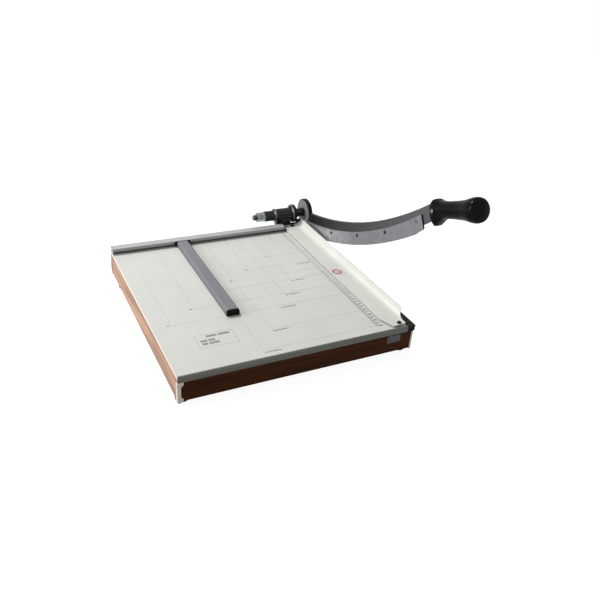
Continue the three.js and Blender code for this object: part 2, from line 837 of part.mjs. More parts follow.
// Height of a shallow arc at a reach: it is lowest at one reach and rises to a given height at the tip.
function arcHeight(reach, lowReach, lowHeight, tipReach, tipHeight) {
  const rise = tipHeight - lowHeight;
  const run = tipReach - lowReach;
  const radius = (run * run + rise * rise) / (2 * rise);
  const offset = reach - lowReach;
  return lowHeight + radius - Math.sqrt(radius * radius - offset * offset);
}

// Outlines of the blade and the arm, as heights over the hinge axis
const bedReach = pivotY;
const bladeTipReach = bedReach - bladeTipInset;
const edgeTipHeight = -(pivotRise + bladeTipOverlap);
const edgeBellyHeight = edgeTipHeight - bladeBelly;
const armEndReach = bedReach + armPastBed;

function edgeHeight(reach) {
  return arcHeight(reach, bladeBellyShare * bedReach, edgeBellyHeight, bladeTipReach, edgeTipHeight);
}

function bladeTopHeight(reach) {
  const low = edgeBellyHeight + bladeWidthAtBelly;
  const tip = edgeTipHeight + bladeWidthAtTip;
  return arcHeight(reach, bladeTopBellyShare * bedReach, low, bladeTipReach - bladeTipSlant, tip);
}

function armTopHeight(reach) {
  const low = edgeBellyHeight + bladeWidthAtBelly + armShowAtBelly;
  const tip = bladeTopHeight(armEndReach) + armShowAtTip;
  return arcHeight(reach, armBellyShare * bedReach, low, armEndReach, tip);
}

// The arm's lower edge runs behind the blade, and runs into the hub at its root.
function armLowHeight(reach) {
  const low = bladeTopHeight(Math.max(reach, armRootReach)) - armLap;
  const blend = Math.min(reach / armRootReach, 1);
  return low * blend - hubRadius * (1 - blend);
}

// Places across the cut, from the fixed knife's face outwards
const bladeLeft = knifeFace + bladeRunGap;
const bladeRight = bladeLeft + bladeThickness;
const armLeft = bladeRight + seatGap;
const armRight = armLeft + armThickness;
const armMiddle = armLeft + armThickness / 2;
const bladeScrewReaches = bladeScrewPlaceShares.map((share) => share * bedReach);

// Blade: flat on the inside, ground to its edge on the outside, blunt in its last stretch
function addBlade() {
  const rings = [];
  for (let i = 0; i <= armStations; i += 1) {
    const reach = bladeHeelReach + (bladeTipReach + overrun - bladeHeelReach) * i / armStations;
    const edge = edgeHeight(reach);
    const top = bladeTopHeight(reach);
    rings.push([
      [bladeLeft, -reach, edge],
      [bladeLeft, -reach, top],
      [bladeRight, -reach, top],
      [bladeRight, -reach, edge + bladeBevel],
    ]);
  }
  const farReach = bladeTipReach + 2 * bladeTipSlant;
  const end = alongX(
    polygon([
      [-bladeTipReach, edgeTipHeight],
      [-bladeTipReach + bladeTipSlant, edgeTipHeight + bladeWidthAtTip],
      [-bladeTipReach + 2 * bladeTipSlant, edgeTipHeight + 2 * bladeWidthAtTip],
      [-farReach, edgeTipHeight + 2 * bladeWidthAtTip],
      [-farReach, edgeTipHeight - bladeWidthAtTip],
      [-bladeTipReach - bladeTipSlant, edgeTipHeight - bladeWidthAtTip],
    ]),
    bladeLeft - overrun,
    bladeRight + overrun,
  );
  const bluntReach = bladeTipReach - bladeBluntLength;
  const bluntStart = edgeHeight(bluntReach) + bladeBluntRise;
  const bluntEnd = edgeTipHeight + bladeTipRise;
  const bluntSlope = (bluntEnd - bluntStart) / bladeBluntLength;
  const blunt = alongX(
    polygon([
      [-bluntReach, bluntStart],
      [-bluntReach, bluntStart - bladeWidthAtTip],
      [-farReach, bluntStart - bladeWidthAtTip],
      [-farReach, bluntEnd + bluntSlope * (farReach - bladeTipReach)],
    ]),
    bladeLeft - overrun,
    bladeRight + overrun,
  );
  const holes = bladeScrewReaches.map((reach) => countersink(
    'x',
    bladeScrewLength,
    [bladeLeft + seatGap, -reach, bladeTopHeight(reach) - bladeScrewDrop],
    -1,
  ));
  add(armGroup, 'blade', cut(loft(rings), end, blunt, ...holes), toolSteel);
  bladeScrewReaches.forEach((reach, i) => {
    const place = [bladeLeft + seatGap, -reach, bladeTopHeight(reach) - bladeScrewDrop];
    add(armGroup, `blade_screw_${i + 1}`, countersunk('x', bladeScrewLength, place, -1), zincPlate);
  });
}

// The handle's axis runs straight on from the arm's end, a little over its middle.
const handleStart = armEndReach + seatGap;
const handleMiddle = (armTopHeight(armEndReach) + armLowHeight(armEndReach)) / 2 + handleRise;

// Rod along the handle's axis for its tang, or the tang's bore when wider
function handleRod(radius, from, to) {
  return rod('y', radius, -to, -from, [armMiddle, 0, handleMiddle]);
}

// Pin across the handle, or its hole when wider
function handlePin(radius, reach) {
  return rod('x', radius, -reach, reach, [armMiddle, -handleStart - handlePinInset, handleMiddle], smallSegments);
}

// Arm: a curved bar with chamfered edges, a round hub at the hinge and a tang for the handle
function addArm() {
  const rings = [];
  for (let i = 0; i <= armStations; i += 1) {
    const reach = armEndReach * i / armStations;
    const low = armLowHeight(reach);
    const top = armTopHeight(reach);
    rings.push([
      [armLeft, -reach, low + armChamfer],
      [armLeft, -reach, top - armChamfer],
      [armLeft + armChamfer, -reach, top],
      [armRight - armChamfer, -reach, top],
      [armRight, -reach, top - armChamfer],
      [armRight, -reach, low + armChamfer],
      [armRight - armChamfer, -reach, low],
      [armLeft + armChamfer, -reach, low],
    ]);
  }
  const hub = revolve('x', [
    [0, armLeft],
    [hubRadius - hubChamfer, armLeft],
    [hubRadius, armLeft + hubChamfer],
    [hubRadius, armRight - hubChamfer],
    [hubRadius - hubChamfer, armRight],
    [0, armRight],
  ], [0, 0, 0]);
  const tang = handleRod(tangRadius, armEndReach - seatGap, handleStart + tangLength);
  const axle = rod('x', hingeShankRadius + seatGap, armLeft - overrun, armRight + overrun, [0, 0, 0]);
  const holes = bladeScrewReaches.map((reach) => rod(
    'x',
    screwShankRadius + seatGap,
    armLeft - overrun,
    bladeLeft + bladeScrewLength + 2 * seatGap,
    [0, -reach, bladeTopHeight(reach) - bladeScrewDrop],
    smallSegments,
  ));
  const bar = join(loft(rings), hub, tang);
  const pinHole = handlePin(handlePinRadius + seatGap, tangRadius + overrun);
  add(armGroup, 'arm', cut(bar, axle, pinHole, ...holes), armPaint);
}

// A list of shares as a smooth curve through them, read off at the handle's stations
function smoothed(shares) {
  const curve = new THREE.SplineCurve(shares.map((share, i) => new THREE.Vector2(i, share)));
  return curve.getPoints(handleStations).map((point) => point.y);
}

// Handle with a bore for the tang. Its sides are flat where it starts, and it turns round along its length.
function addHandle() {
  const alongs = smoothed(handleAlongShares);
  const ups = smoothed(handleUpShares);
  const downs = smoothed(handleDownShares);
  const sides = smoothed(handleSideShares);
  const squares = smoothed(handleSquareShares);
  const rings = alongs.map((along, i) => {
    const power = 1 - handleFlatShare * squares[i];
    const ringPoints = [];
    for (let j = 0; j < roundSegments; j += 1) {
      const angle = 2 * Math.PI * j / roundSegments;
      const [across, up] = [Math.cos(angle), Math.sin(angle)];
      const height = up < 0 ? downs[i] : ups[i];
      ringPoints.push([
        armMiddle + handleRadius * sides[i] * Math.sign(across) * Math.abs(across) ** power,
        -handleStart - handleLength * along,
        handleMiddle + handleRadius * height * Math.sign(up) * Math.abs(up) ** power,
      ]);
    }
    return ringPoints;
  });
  const bore = handleRod(tangRadius + seatGap, handleStart - overrun, handleStart + tangLength + seatGap);
  const hole = handlePin(handlePinRadius + seatGap, handleRadius + overrun);
  add(armGroup, 'handle', cut(loft(rings), bore, hole), gripPlastic);

  const [, flatShare] = handleSideShares;
  add(armGroup, 'handle_pin', handlePin(handlePinRadius, handleRadius * flatShare + handlePinProud), zincPlate);
}

// A helix about the X axis
class Helix extends THREE.Curve {
  constructor(radius, from, to, coils) {
    super();
    Object.assign(this, { radius, from, to, coils });
  }

  getPoint(t, target = new THREE.Vector3()) {
    const angle = 2 * Math.PI * this.coils * t;
    const x = this.from + (this.to - this.from) * t;
    return target.set(x, this.radius * Math.cos(angle), this.radius * Math.sin(angle));
  }
}

// A hexagon nut with chamfered corners, from one place along the X axis to another
function hexNut(from, to) {
  const blank = rod('x', nutRadius, from, to, [0, 0, 0], hexSides);
  const turned = revolve('x', [
    [0, from],
    [nutRadius - nutChamfer, from],
    [nutRadius, from + nutChamfer / 2],
    [nutRadius, to - nutChamfer / 2],
    [nutRadius - nutChamfer, to],
    [0, to],
  ], [0, 0, 0]);
  const bore = rod('x', hingeThreadRadius + seatGap, from - overrun, to + overrun, [0, 0, 0]);
  return cut(common(blank, turned), bore);
}

// Hinge bolt and what is strung on it, from the arm's hub out to the lock nut
function addHinge() {
  const bore = hingeShankRadius + seatGap;
  const threadBore = hingeThreadRadius + seatGap;
  add(armGroup, 'thrust_collar', revolve('x', [
    [bore, collarLeft],
    [collarRootRadius, collarLeft],
    [collarRadius, collarLeft + collarConeLength],
    [collarRadius, collarRight - collarChamfer],
    [collarRadius - collarChamfer, collarRight],
    [bore, collarRight],
    [bore, collarLeft],
  ], [0, 0, 0]), darkSteel);
  const sleeve = ring('x', bore + spacerWall, bore, collarRight + seatGap, armLeft - seatGap, [0, 0, 0]);
  add(armGroup, 'spacer_sleeve', sleeve, darkSteel);

  const washerTo = bracketLeft - seatGap;
  const washerFrom = washerTo - washerLength;
  add(armGroup, 'thrust_washer', revolve('x', [
    [threadBore, washerFrom],
    [washerNoseRadius, washerFrom],
    [washerRadius, washerTo - washerRimLength],
    [washerRadius, washerTo],
    [threadBore, washerTo],
    [threadBore, washerFrom],
  ], [0, 0, 0]), zincPlate);

  const cupTo = washerFrom - seatGap;
  const cupFrom = cupTo - cupLength;
  add(armGroup, 'spring_cup', revolve('x', [
    [threadBore, cupFrom],
    [cupRadius, cupFrom],
    [cupRadius, cupTo],
    [cupRadius - cupWall, cupTo],
    [cupRadius - cupWall, cupFrom + cupWall],
    [threadBore, cupFrom + cupWall],
    [threadBore, cupFrom],
  ], [0, 0, 0]), darkSteel);

  const wireSeat = springWire + seatGap;
  const helix = new Helix(springRadius, cupFrom + cupWall + wireSeat, washerFrom - wireSeat, springCoils);
  const wire = new THREE.Shape();
  wire.absarc(0, 0, springWire, 0, 2 * Math.PI, false);
  add(armGroup, 'hinge_spring', new THREE.ExtrudeGeometry(wire, {
    steps: springCoils * springStepsPerCoil,
    extrudePath: helix,
    curveSegments: springSides,
    bevelEnabled: false,
  }), toolSteel);

  const nutTo = cupFrom - seatGap;
  const lockTo = nutTo - nutThickness - seatGap;
  const lockFrom = lockTo - nutThickness;
  add(armGroup, 'hinge_nut', hexNut(nutTo - nutThickness, nutTo), zincPlate);
  add(armGroup, 'lock_nut', hexNut(lockFrom, lockTo), zincPlate);

  const stubEnd = lockFrom - hingeStub;
  const headFrom = armRight + seatGap;
  const headTo = headFrom + hingeHeadHeight;
  add(armGroup, 'hinge_bolt', revolve('x', [
    [0, stubEnd],
    [hingeThreadRadius - hingeChamfer, stubEnd],
    [hingeThreadRadius, stubEnd + hingeChamfer],
    [hingeThreadRadius, bracketLeft],
    [hingeShankRadius, bracketLeft],
    [hingeShankRadius, headFrom],
    [hingeHeadRadius, headFrom],
    [hingeHeadRadius, headTo - hingeHeadDome],
    [hingeHeadRadius - hingeHeadDome, headTo],
    [0, headTo],
  ], [0, 0, 0]), zincPlate);
}

// Paper stop: a channel with chamfered shoulders, a front cap and a slider in the fence's groove
function addStop() {
  const right = stopLeft + stopWidth;
  const low = bedHeight + stopBedGap;
  const high = low + stopHeight;
  const shoulder = high - stopChamfer;
  const rear = fenceFront - sliderPlate - 2 * seatGap;
  const front = fenceFront - stopReach;
  const outline = [
    [right, low],
    [right, shoulder],
    [right - stopChamfer, high],
    [stopLeft + stopChamfer, high],
    [stopLeft, shoulder],
    [stopLeft, low],
  ];
  const hollow = [
    [stopLeft + stopWall, low],
    [stopLeft + stopWall, shoulder],
    [stopLeft + stopChamfer, high - stopWall],
    [right - stopChamfer, high - stopWall],
    [right - stopWall, shoulder],
    [right - stopWall, low],
  ];
  add(cutter, 'stop_bar', alongY(polygon([...outline, ...hollow]), front, rear), greyAluminium);

  const plugInset = stopWall + seatGap;
  const plug = polygon([
    [stopLeft + plugInset, low],
    [right - plugInset, low],
    [right - plugInset, shoulder - seatGap],
    [right - stopChamfer - seatGap, high - plugInset],
    [stopLeft + stopChamfer + seatGap, high - plugInset],
    [stopLeft + plugInset, shoulder - seatGap],
  ]);
  const capFront = front - seatGap - stopCapThickness;
  const cap = join(
    alongY(polygon(outline), capFront, front - seatGap),
    alongY(plug, capFront, front + stopPlugLength),
  );
  add(cutter, 'stop_cap', cap, blackPlastic);

  const runnerLow = grooveLow + seatGap;
  const slotHigh = grooveLow + grooveOpening - seatGap;
  const pocketHigh = grooveLow + grooveHeight - seatGap;
  const plateFront = fenceFront - seatGap - sliderPlate;
  const plateLow = low + sliderPlateInset;
  const plateHigh = high - sliderPlateInset;
  const hook = polygon([
    [plateFront, plateLow],
    [fenceFront - seatGap, plateLow],
    [fenceFront - seatGap, runnerLow],
    [fenceFront + grooveDepth - seatGap, runnerLow],
    [fenceFront + grooveDepth - seatGap, pocketHigh],
    [fenceFront + grooveLip + seatGap, pocketHigh],
    [fenceFront + grooveLip + seatGap, slotHigh],
    [fenceFront - seatGap, slotHigh],
    [fenceFront - seatGap, plateHigh],
    [plateFront, plateHigh],
  ]);
  const middle = stopLeft + stopWidth / 2;
  const runner = alongX(hook, middle - sliderLength / 2, middle + sliderLength / 2);
  const tongueTop = high - plugInset;
  const tongue = alongY(
    polygon([
      [stopLeft + plugInset, plateLow],
      [right - plugInset, plateLow],
      [right - plugInset, shoulder - seatGap],
      [right - stopChamfer - seatGap, tongueTop],
      [stopLeft + stopChamfer + seatGap, tongueTop],
      [stopLeft + plugInset, shoulder - seatGap],
    ]),
    rear - sliderTongue,
    plateFront + sliderPlate / 2,
  );
  add(cutter, 'stop_slider', join(runner, tongue), blackPlastic);
}

addFrame();
addPanel();
addFeet();
addKnife();
addTrim();
addCorners();
addFence();
addGuard();
addBracket();
addArm();
addBlade();
addHandle();
addHinge();
addStop();

// The arm is drawn closed and stands open at rest.
armGroup.position.set(0, pivotY, pivotZ);
armGroup.rotation.x = -THREE.MathUtils.degToRad(restOpenDegrees);
cutter.add(armGroup);

// Origin in the middle of the cutter's box, at the level it stands on
const box = new THREE.Box3().setFromObject(cutter, true);
const centre = box.getCenter(new THREE.Vector3());
cutter.position.set(-centre.x, -centre.y, -box.min.z);

export default cutter;
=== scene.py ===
"""Guillotine paper cutter: its looks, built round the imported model.

Lengths are in metres, in the part's own frame: +X to the right, towards the cut, +Y to the back, towards
the hinge, +Z up. The origin is under the middle of the cutter. Sizes marked mm are millimetres.
"""
import json
import logging
import math
from collections.abc import Iterable, Sequence
from dataclasses import dataclass
from enum import Enum

import bmesh
import bpy
from mathutils import Matrix, Vector

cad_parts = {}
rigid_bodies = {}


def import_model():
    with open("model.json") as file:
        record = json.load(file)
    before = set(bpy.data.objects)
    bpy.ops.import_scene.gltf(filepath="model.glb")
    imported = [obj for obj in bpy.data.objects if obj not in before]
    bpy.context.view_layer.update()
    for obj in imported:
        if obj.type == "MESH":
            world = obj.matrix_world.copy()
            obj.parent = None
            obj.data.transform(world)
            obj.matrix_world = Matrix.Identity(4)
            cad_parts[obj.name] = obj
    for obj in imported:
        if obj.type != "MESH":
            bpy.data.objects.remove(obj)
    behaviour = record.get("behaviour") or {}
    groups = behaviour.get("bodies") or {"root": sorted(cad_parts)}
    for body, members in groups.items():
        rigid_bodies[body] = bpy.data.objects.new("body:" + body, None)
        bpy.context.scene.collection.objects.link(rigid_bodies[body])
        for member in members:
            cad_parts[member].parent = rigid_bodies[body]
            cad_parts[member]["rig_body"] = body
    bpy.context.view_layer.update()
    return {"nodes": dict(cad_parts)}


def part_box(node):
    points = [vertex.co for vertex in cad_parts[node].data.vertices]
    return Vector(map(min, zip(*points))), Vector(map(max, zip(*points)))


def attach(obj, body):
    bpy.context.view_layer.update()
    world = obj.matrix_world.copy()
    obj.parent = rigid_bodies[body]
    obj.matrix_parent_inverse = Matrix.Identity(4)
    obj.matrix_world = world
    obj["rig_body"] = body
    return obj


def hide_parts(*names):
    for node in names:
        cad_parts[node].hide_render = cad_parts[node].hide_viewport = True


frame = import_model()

Mesh = bpy.types.Mesh
Object = bpy.types.Object
Socket = bpy.types.NodeSocket
Tree = bpy.types.NodeTree
Triple = tuple[float, float, float]
Rgba = tuple[float, float, float, float]

LOG = logging.getLogger("paper_cutter")
MM = 0.001
MERGE_DISTANCE = 0.002 * MM
FLAT_ANGLE = math.radians(0.6)
CREASE = 32.0
BEVEL_STEPS = 2
LEAST_ROUGHNESS = 0.02
COAT_ROUGHNESS = 0.15
WHITE: Rgba = (1.0, 1.0, 1.0, 1.0)
ORIGIN: Triple = (0.0, 0.0, 0.0)

LETTER_STEPS = 3
BOLD_SHARE = 0.022

HEAD_SIDES = 40
SHANK_SIDES = 20
FIRST_TURN = 0.7

THREAD_STEPS = 32
RIDGE_SIDES = 4

ENDS = ("front", "rear")
PLACES = tuple(f"{end}_{side}" for end in ENDS for side in ("left", "right"))


class Run(Enum):
    """Way that grain or grinding marks run, as each coordinate's scale: a small one draws them out."""

    NONE = (1.0, 1.0, 1.0)
    ALONG_X = (0.05, 1.0, 1.0)
    ALONG_Y = (1.0, 0.05, 1.0)
    ROUND_X = (1.0, 0.15, 0.15)


class Recess(Enum):
    """Drive in a screw's head."""

    SLOT = 1
    CROSS = 2


def linear(code: str) -> Rgba:
    """Turns an sRGB hex colour into a linear one.

    Args:
        code: Six hex digits, such as "d7d8d0".

    Returns:
        Red, green, blue and an alpha of 1.
    """
    shares = [int(code[i : i + 2], 16) / 255 for i in (0, 2, 4)]
    red, green, blue = (c / 12.92 if c <= 0.04045 else ((c + 0.055) / 1.055) ** 2.4 for c in shares)
    return red, green, blue, 1.0


def add(tree: Tree, kind: str, settings: dict | None = None, inputs: dict | None = None) -> bpy.types.Node:
    """Adds a node with its settings and its inputs.

    Args:
        tree: The shader or geometry tree that takes the node.
        kind: The node's type.
        settings: Values for the node's own properties.
        inputs: For inputs, by name or number, a value or the output that feeds it.

    Returns:
        The node.
    """
    made = tree.nodes.new(kind)
    for key, value in (settings or {}).items():
        setattr(made, key, value)
    for key, value in (inputs or {}).items():
        if isinstance(value, Socket):
            tree.links.new(value, made.inputs[key])
        else:
            made.inputs[key].default_value = value
    return made


def mix(tree: Tree, share: Socket, first: str | Socket, second: str | Socket) -> Socket:
    """Mixes two colours, each a hex code or an output, by a share that grows towards the second."""
    ends = [linear(colour) if isinstance(colour, str) else colour for colour in (first, second)]
    return add(tree, "ShaderNodeMix", {"data_type": "RGBA"}, {0: share, 6: ends[0], 7: ends[1]}).outputs[2]


def reckon(tree: Tree, operation: str, *values: float | Socket) -> Socket:
    """Works out one number from others."""
    return add(tree, "ShaderNodeMath", {"operation": operation}, dict(enumerate(values))).outputs[0]


def reckon_vector(tree: Tree, operation: str, *values: Triple | Socket) -> bpy.types.Node:
    """Adds a node that works on vectors, with a Vector and a Value among its outputs."""
    return add(tree, "ShaderNodeVectorMath", {"operation": operation}, dict(enumerate(values)))


def vector(tree: Tree, *parts: float | Socket) -> Socket:
    """Puts up to three numbers into one vector."""
    return add(tree, "ShaderNodeCombineXYZ", inputs=dict(enumerate(parts))).outputs[0]


def ramp(
    tree: Tree,
    value: Socket,
    low: float = 0.0,
    high: float = 1.0,
    to_low: float = 0.0,
    to_high: float = 1.0,
) -> Socket:
    """Maps one range of a value to another, and holds it at both ends."""
    ends = {"From Min": low, "From Max": high, "To Min": to_low, "To Max": to_high}
    return add(tree, "ShaderNodeMapRange", inputs={"Value": value, **ends}).outputs[0]


def noise(tree: Tree, place: Socket, size_mm: float, detail: float, twist: float = 0.0) -> Socket:
    """Gives soft noise of a real size."""
    sizes = {"Scale": 1 / (size_mm * MM), "Detail": detail, "Distortion": twist}
    return add(tree, "ShaderNodeTexNoise", inputs={"Vector": place, **sizes}).outputs["Fac"]


def own_place(tree: Tree) -> Socket:
    """Gives the piece's own coordinates."""
    return add(tree, "ShaderNodeTexCoord").outputs["Object"]


def along(tree: Tree, axis: str, place: Socket | None = None) -> Socket:
    """Gives one coordinate of a place, which is the piece's own where none is given."""
    whole = own_place(tree) if place is None else place
    return add(tree, "ShaderNodeSeparateXYZ", inputs={"Vector": whole}).outputs[axis]


def shader_tree(owner: bpy.types.Material | bpy.types.World) -> Tree:
    """Gives an emptied shader tree.

    Args:
        owner: The material or the world that it belongs to.

    Returns:
        The tree.
    """
    owner.use_nodes = True
    owner.node_tree.nodes.clear()
    return owner.node_tree


@dataclass(frozen=True)
class Finish:
    """A finish whose colour is lightly mottled and whose surface is lightly uneven.

    The mottling and the relief are noise of a real size, stretched along the way that the marks run.
    """

    name: str
    colour: str
    tint: str
    roughness: float
    metallic: float = 0.0
    ior: float = 1.5
    specular: float = 0.5
    coat: float = 0.0
    mottle_mm: float = 20.0
    mottle_range: tuple[float, float] = (0.3, 0.7)
    relief_size_mm: float = 1.0
    relief_mm: float = 0.01
    spread: float = 0.06
    run: Run = Run.NONE

    def shade(self, tree: Tree, place: Socket) -> Socket:
        """Gives the surface's colour: the finish's two colours, mixed by large soft noise."""
        soft = ramp(tree, noise(tree, place, self.mottle_mm, detail=4.0), *self.mottle_range)
        return mix(tree, soft, self.colour, self.tint)

    def build(self) -> bpy.types.Material:
        """Builds the material, or gives the one already built.

        Returns:
            The material, under the finish's name.
        """
        if self.name in bpy.data.materials:
            return bpy.data.materials[self.name]
        material = bpy.data.materials.new(self.name)
        tree = shader_tree(material)
        stretched = {"Vector": own_place(tree), "Scale": self.run.value}
        place = add(tree, "ShaderNodeMapping", inputs=stretched).outputs[0]
        height = noise(tree, place, self.relief_size_mm, detail=3.0)
        smoothest = max(self.roughness - self.spread, LEAST_ROUGHNESS)
        roughest = min(self.roughness + self.spread, 1.0)
        relief = {"Height": height, "Distance": self.relief_mm * MM, "Strength": 1.0}
        surface = add(
            tree,
            "ShaderNodeBsdfPrincipled",
            inputs={
                "Base Color": self.shade(tree, place),
                "Roughness": ramp(tree, height, to_low=smoothest, to_high=roughest),
                "Metallic": self.metallic,
                "IOR": self.ior,
                "Specular IOR Level": self.specular,
                "Coat Weight": self.coat,
                "Coat Roughness": COAT_ROUGHNESS,
                "Normal": add(tree, "ShaderNodeBump", inputs=relief).outputs[0],
            },
        ).outputs[0]
        add(tree, "ShaderNodeOutputMaterial", inputs={"Surface": surface})
        return material


@dataclass(frozen=True, kw_only=True)
class EdgedBoard(Finish):
    """Board faced with laminate, its sides closed with a band of another colour."""

    band: str = "efe4d2"
    face_height: float

    def shade(self, tree: Tree, place: Socket) -> Socket:
        """Gives the laminate's colour on the top face, and the band's below it."""
        on_top = reckon(tree, "GREATER_THAN", along(tree, "Z"), self.face_height)
        return mix(tree, on_top, self.band, super().shade(tree, place))


@dataclass(frozen=True, kw_only=True)
class FadedInk(Finish):
    """Printing ink that is rubbed paler towards the back of the bed."""

    faded: str = "a3a59c"
    faded_from: float = -0.12
    faded_to: float = 0.06

    def shade(self, tree: Tree, place: Socket) -> Socket:
        """Gives the ink by its place along the bed."""
        wear = ramp(tree, along(tree, "Y"), self.faded_from, self.faded_to)
        return mix(tree, wear, super().shade(tree, place), self.faded)


@dataclass(frozen=True, kw_only=True)
class Timber(Finish):
    """Wood: long streaks of growth rings, with short dark pores between them."""

    ring_mm: float = 7.0
    ring_twist: float = 0.4
    ring_range: tuple[float, float] = (0.36, 0.64)
    pore: str
    pore_mm: float = 1.2
    pore_range: tuple[float, float] = (0.58, 0.72)
    pore_share: float = 0.35

    def shade(self, tree: Tree, place: Socket) -> Socket:
        """Gives the streaks and the pores."""
        coarse = noise(tree, place, self.ring_mm, detail=3.0, twist=self.ring_twist)
        streaks = mix(tree, ramp(tree, coarse, *self.ring_range), self.colour, self.tint)
        fine = noise(tree, place, self.pore_mm, detail=2.0)
        return mix(tree, ramp(tree, fine, *self.pore_range, to_high=self.pore_share), streaks, self.pore)


@dataclass(frozen=True, kw_only=True)
class PartlyMachined(Finish):
    """Dark metal with a bright band between two places along the hinge's axis: turned bright on the collar,
    a painted highlight on the washer.
    """

    bright: str
    bright_from: float
    bright_to: float

    def shade(self, tree: Tree, place: Socket) -> Socket:
        """Gives bright metal in the band, and the finish elsewhere."""
        across = along(tree, "X")
        past = reckon(tree, "GREATER_THAN", across, self.bright_from)
        short = reckon(tree, "LESS_THAN", across, self.bright_to)
        inside = reckon(tree, "MULTIPLY", past, short)
        return mix(tree, inside, super().shade(tree, place), self.bright)


@dataclass(frozen=True, kw_only=True)
class GroundBlade(Finish):
    """Ground steel, rubbed darker and more even towards the handle, with painted shade on its end face."""

    rubbed: str = "88878f"
    rubbed_from: float = 0.14
    rubbed_to: float = 0.03
    rubbed_share: float = 0.75
    # Painted shade: the dark colour of the end face, which faces along the blade.
    end: str = "1d1c1e"
    lengthwise: Triple = (0.0, -0.924, 0.383)
    end_share: float = 0.75

    def shade(self, tree: Tree, place: Socket) -> Socket:
        """Gives painted shade where the surface faces along the blade, at its end, and ground steel
        elsewhere.
        """
        wear = ramp(tree, along(tree, "Y"), self.rubbed_from, self.rubbed_to, to_high=self.rubbed_share)
        ground = mix(tree, wear, super().shade(tree, place), self.rubbed)
        normal = add(tree, "ShaderNodeTexCoord").outputs["Normal"]
        facing = reckon_vector(tree, "DOT_PRODUCT", normal, self.lengthwise).outputs["Value"]
        return mix(tree, reckon(tree, "GREATER_THAN", facing, self.end_share), ground, self.end)


@dataclass(frozen=True, kw_only=True)
class ArmPaint(Finish):
    """Dark paint that is worn lighter towards the handle, with the hub's inner face machined bare."""

    worn: str = "5a5a5c"
    worn_from: float = 0.05
    worn_to: float = 0.45
    bare: str = "7c7c7d"
    bare_depth: float = 0.5 * MM
    hub: Triple
    hub_radius: float = 0.0285

    def shade(self, tree: Tree, place: Socket) -> Socket:
        """Gives the paint by its distance from the hinge, and bare metal on the hub's inner face."""
        from_hub = reckon_vector(tree, "SUBTRACT", own_place(tree), self.hub).outputs[0]
        flat = reckon_vector(tree, "MULTIPLY", from_hub, (0.0, 1.0, 1.0)).outputs[0]
        reach = reckon_vector(tree, "LENGTH", flat).outputs["Value"]
        wear = ramp(tree, reach, self.worn_from, self.worn_to)
        paint = mix(tree, wear, super().shade(tree, place), self.worn)
        inner = reckon(tree, "LESS_THAN", along(tree, "X", from_hub), self.bare_depth)
        near = reckon(tree, "LESS_THAN", reach, self.hub_radius)
        return mix(tree, reckon(tree, "MULTIPLY", inner, near), paint, self.bare)


# Satin melamine laminate on chipboard: even, very light warm grey, with a faint orange-peel sheen.
LAMINATE = EdgedBoard(
    "satin_melamine_laminate", "cbcbc6", "c5c6c0", 0.4, mottle_mm=60, relief_size_mm=1.5, relief_mm=0.006,
    face_height=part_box("top_panel")[1].z - 0.3 * MM,
)
# Printing ink on the laminate: dull and dark, slightly worn.
INK = Finish("grey_printing_ink", "33352f", "45473f", 0.6, specular=0.3, mottle_mm=3, relief_mm=0.002)
# The same ink where it is rubbed thin: outlines that only just show.
FAINT_INK = Finish("faint_printing_ink", "9a9c92", "adafa5", 0.6, mottle_mm=4, relief_mm=0.002)
# The ruler's ink, rubbed by sheets that slide over it: dark near the front, pale towards the fence.
RULER_INK = FadedInk("faded_ruler_ink", "4a4c45", "565850", 0.6, specular=0.3, mottle_mm=3, relief_mm=0.002)
# The same ink where it is half worn: the box and its rows.
WORN_INK = Finish("worn_printing_ink", "7d7f77", "8b8d85", 0.6, mottle_mm=3, relief_mm=0.002)
# Hardwood of the front and the rear, with painted shade: near black-brown, its pores just visible under
# varnish.
SHADED_HARDWOOD = Timber(
    "hardwood_rail_painted_shade", "532b0c", "361b07", 0.5, specular=0.06, relief_size_mm=1.4, relief_mm=0.05,
    pore="1c0e07", run=Run.ALONG_X,
)
# The same hardwood along the sides, with painted light: a light orange, with streaks of growth rings under
# thin varnish.
LIT_HARDWOOD = Timber(
    "hardwood_rail_painted_light", "c39a7e", "8f6850", 0.5, specular=0.2, relief_size_mm=1.4, relief_mm=0.05,
    pore="7a4326", run=Run.ALONG_Y,
)
# Planed softwood battens: pale and dry.
BATTEN = Timber(
    "planed_softwood", "c9a877", "b08a58", 0.75, relief_size_mm=1.6, relief_mm=0.06, pore="8a6a40",
    pore_share=0.2, run=Run.ALONG_X,
)
# Satin anodised aluminium extrusion: grey, with fine die lines along its length.
EXTRUSION_X = Finish(
    "satin_anodised_aluminium_fence", "aaa9ac", "9c9b9f", 0.5, metallic=0.25, mottle_mm=25,
    relief_size_mm=0.6, run=Run.ALONG_X,
)
# The same extrusion for the stop, darker from handling.
EXTRUSION_Y = Finish(
    "satin_anodised_aluminium_stop", "757379", "6b696f", 0.5, metallic=0.2, mottle_mm=15,
    relief_size_mm=0.6, run=Run.ALONG_Y,
)
# Dull grey anodised angle: the same marks, darker and flatter.
TRIM = Finish(
    "dull_anodised_aluminium_angle", "62625c", "565651", 0.5, metallic=0.6, mottle_mm=12,
    relief_size_mm=0.6, run=Run.ALONG_X,
)
# Off-white powder coat on formed sheet steel: a soft gloss with orange peel.
POWDER_COAT = Finish(
    "off_white_powder_coat", "cfcfc8", "c9c9c2", 0.4, mottle_mm=50, relief_size_mm=2.2, relief_mm=0.02
)
# Moulded cream ABS: matt, with a fine spark-eroded grain.
CREAM_ABS = Finish("moulded_cream_abs", "efe8db", "e6dfd1", 0.5, mottle_mm=12, relief_size_mm=0.4)
# Moulded black ABS: the same grain on a dark plastic.
BLACK_ABS = Finish(
    "moulded_black_abs", "121214", "18181a", 0.42, specular=0.08, mottle_mm=6, relief_size_mm=0.4
)
